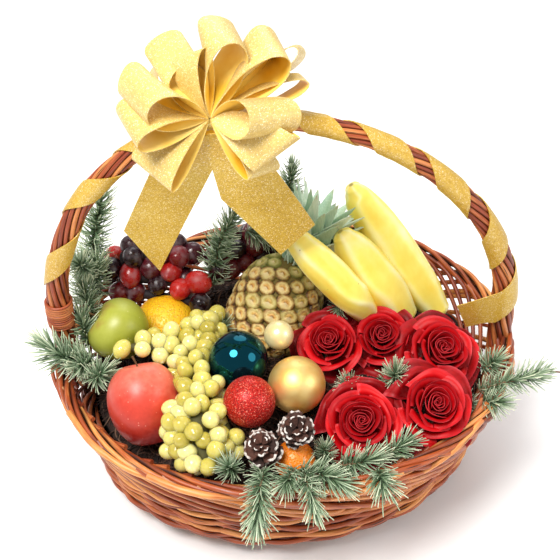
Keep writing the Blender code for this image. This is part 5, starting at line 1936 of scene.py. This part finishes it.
def cone_scale():
    """One woody scale along +Z, cupped towards +Y, thick and rounded at its end."""
    mould = Mould("tip")
    rows, columns = 8, 7
    grid, tips = [], []
    for v in np.linspace(0, 1, rows):
        half = 0.14 + 0.34 * math.sin(math.pi * min(1.0, v * 0.62)) ** 1.2
        if v > 0.8:
            half *= math.sqrt(max(0.04, 1 - ((v - 0.8) / 0.22) ** 2))
        row, marks = [], []
        for u in np.linspace(-1, 1, columns):
            cup = 0.16 * (1 - u * u) * v - 0.12 * v * v
            row.append((u * half, -cup, v))
            marks.append(max(v**4, (abs(u) ** 4) * max(0.0, v - 0.35) * 1.4))
        grid.append(row)
        tips.append(marks)
    sheet(mould, grid, np.linspace(0.10, 0.15, rows)[:, None], tip=tips)
    return mould.mesh("cone_scale", [])


def cone_finish():
    """Brown wood with frosted tips."""
    wood = Finish("cone_scale")
    fine = wood.cloud(420.0)
    colour = wood.ramp(wood.mark("tone") * 0.5 + fine * 0.5, (0.2, "1E0E0A"), (0.8, "5A3426"))
    frost = wood.level(wood.mark("tip") + (fine - 0.5) * 0.4, 0.88, 1.02)
    colour = wood.mix(frost * 0.9, colour, "EEE6DE")
    return wood.dress(colour, 0.75, (fine, 0.6, 0.0008))


def make_cones():
    wood = cone_finish()
    for name, (foot, way, radius, high) in CONES.items():
        rng = random.Random(name)
        turn = facing(way)
        axis = Vector(way).normalized()
        places, ways, stands, sizes, tones = [], [], [], [], []
        for k in range(CONE_SCALES):
            share = (k + 0.5) / CONE_SCALES
            radial = polar(turn, 1.0, GOLDEN * k)
            full = math.sin(math.pi * (0.20 + 0.72 * share)) ** 0.8
            places.append(Vector(foot) + axis * high * share * 0.92 + radial * radius * 0.12)
            ways.append((radial + some_way(rng, 0.22) + axis * (-0.25 + 1.5 * share**1.6)).normalized())
            stands.append(axis)
            length = radius * full * rng.uniform(0.78, 1.08)
            sizes.append((length * 0.98, length * 0.90, length * 1.04))
            tones.append(rng.random())
        mesh = copies(cone_scale(), places, ways, stands, sizes, tones, wood)
        show(name + "_scales", mesh, "cone_scale", name)


# ---------------------------------------------------------------- fir

# Stations of each sprig in mm, from its foot: a place and the reach of the needles there.
SPRIGS = {
    "fir_left_tall": ((-202, 76, 184, 11), (-194, 79, 238, 14), (-174, 80, 306, 12)),
    "fir_left_star": ((-196, 36, 240, 8), (-200, 24, 258, 13)),
    "fir_left_dark": ((-196, 16, 168, 11), (-202, 28, 226, 11)),
    "fir_left_outer": ((-196, -24, 171, 10), (-218, -32, 183, 16), (-240, -26, 198, 13)),
    "fir_left_rim": ((-194, -50, 168, 10), (-180, -58, 185, 15)),
    "fir_middle_back": ((-74, 75, 176, 10), (-64, 79, 223, 13), (-41, 80, 278, 10)),
    "fir_middle_branch": ((-34, 93, 234, 9), (-4, 98, 214, 10)),
    "fir_high_back": ((14, 150, 183, 9), (13, 136, 243, 11), (18, 122, 294, 9)),
    "fir_under_banana": ((56, 14, 188, 8), (63, 4, 206, 9)),
    "fir_between_roses": ((104, -68, 148, 10), (106, -86, 193, 13)),
    "fir_right_long": ((188, -88, 164, 7), (212, -89, 174.5, 9), (236, -85, 176, 12), (252, -81, 177, 8)),
    "fir_right_star": ((173, -84, 135, 7), (178, -89, 147, 9)),
    "fir_front_right": ((80, -150, 129, 9), (102, -139, 129, 10), (122, -126, 129, 9)),
    "fir_front_star": ((79, -183, 168, 8), (83, -199, 166, 17)),
    "fir_front_hanging": (
        (-25, -178, 169, 10), (-28, -198, 173, 9), (-31, -214, 158, 14), (-33.5, -219.5, 142, 13),
    ),
    "fir_front_middle": ((10, -178, 168, 8), (14, -197, 171.5, 8), (19.5, -215.5, 157, 13)),
    "fir_front_back": ((28, -168, 131, 9), (54, -166, 140, 10)),
    "fir_front_left_star": ((-52, -168, 156, 8), (-58, -173, 172, 12)),
    "fir_by_cone": ((30, -150, 144, 8), (33, -153, 166, 8)),
}
# Side shoots that fill out the sprigs, in the same way.
SHOOTS = (
    ((10, -180, 168, 10), (30, -190, 172, 12), (47, -196, 166, 12)),
    ((4, -178, 170, 9), (-6, -196, 170, 12)),
    ((46, -168, 158, 10), (66, -172, 166, 12), (80, -168, 168, 11)),
    ((88, -160, 158, 10), (110, -150, 166, 12)),
    ((-200, 66, 180, 11), (-190, 62, 226, 13)),
    ((-206, 48, 180, 10), (-206, 50, 238, 11)),
    ((-200, -4, 170, 11), (-206, 4, 206, 13)),
    ((-196, -30, 170, 10), (-205, -44, 184, 13)),
    ((64, -66, 150, 10), (60, -84, 176, 11)),
    ((196, -60, 164, 10), (208, -62, 178, 11)),
    ((190, -100, 160, 10), (204, -106, 166, 12)),
    ((-62, 20, 150, 10), (-64, 12, 178, 11)),
)
BARE_TWIG = ((0.250, -0.081, 0.177), (0.262, -0.079, 0.1755), (0.273, -0.078, 0.172))
NEEDLES_PER_METRE = 3000
NEEDLES_AT_TIP = 46
TWIG_RADII = (0.0016, 0.0009)  # at its foot and at its tip
BARE_TWIG_RADII = (0.0013, 0.0010, 0.0007)


def needle_finish():
    """Needles, dark at the twig and pale at their tips."""
    fir = Finish("fir_needle")
    tone = fir.mark("tone")
    shade = tone * 0.45 + fir.mark("tip") * 0.55
    colour = fir.ramp(shade, (0.06, "2C3E28"), (0.90, "E4EACC"), (0.34, "5E7856"), (0.62, "A0B494"))
    return fir.dress(colour, fir.level(tone, 0.0, 1.0, 0.4, 0.6))


def make_fir():
    finish = needle_finish()
    bark = mottled("fir_bark", 300.0, ("4A3020", "927050"), 0.8, relief=(600.0, 0.5, 0.0005))
    twigs = Paths()
    sprigs = list(SPRIGS.items()) + [(f"shoot_{k}", stations) for k, stations in enumerate(SHOOTS)]
    for number, (name, stations) in enumerate(sprigs):
        stations = in_metres(stations)
        points = [Vector(place) for place, _ in stations]
        length = sum((b - a).length for a, b in zip(points, points[1:]))
        guide = Paths()
        guide.run(points, [reach for _, reach in stations], 0.5)
        count = int(length * NEEDLES_PER_METRE) + NEEDLES_AT_TIP
        mesh = NEEDLE_TREE.grow(guide.mesh(), needles=count, seed=number * 10, finish=finish)
        show("needles_" + name, mesh, "fir_needle", *([name] if name in SPRIGS else []))
        twigs.run(points, np.linspace(*TWIG_RADII, len(points)), 0.5)
    twigs.run(BARE_TWIG, BARE_TWIG_RADII, 0.5)
    show("fir_twigs", rods(twigs, bark, 7), "fir_needle")


# ---------------------------------------------------------------- packing


def welded(mesh):
    """The same mesh with the doubled points of its corners made one."""
    form = bmesh.new()
    form.from_mesh(mesh)
    bmesh.ops.remove_doubles(form, verts=form.verts, dist=1e-6)
    bmesh.ops.recalc_face_normals(form, faces=form.faces)
    form.to_mesh(mesh)
    form.free()
    return mesh


def shred_finish():
    paper = Finish("packing_shreds")
    colour = paper.ramp(paper.mark("tone"), (0.0, "1C0F0A"), (1.0, "6E5240"), (0.7, "3A2218"))
    return paper.dress(colour, 0.85, (paper.cloud(500.0), 0.3, 0.0005))


def bed_finish():
    bed = Finish("packing_bed")
    lumps = bed.cloud(150.0, None, 5.0)
    colour = bed.ramp(lumps, (0.3, "120A08"), (0.7, "38241A"))
    return bed.dress(colour, 0.9, (lumps, 0.8, 0.003))


def make_packing():
    plain = welded(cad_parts["packing_bed"].data.copy())
    shreds = SHRED_TREE.grow(plain.copy(), finish=shred_finish())
    show("packing_shreds", shreds, "packing", "packing_bed")
    plain.materials.clear()
    plain.materials.append(bed_finish())
    show("packing_under", plain, "packing")


make_citrus()
make_apples()
make_baubles()
make_pineapple()
make_bananas()
make_grapes()
make_roses()
make_cones()
make_fir()
make_packing()
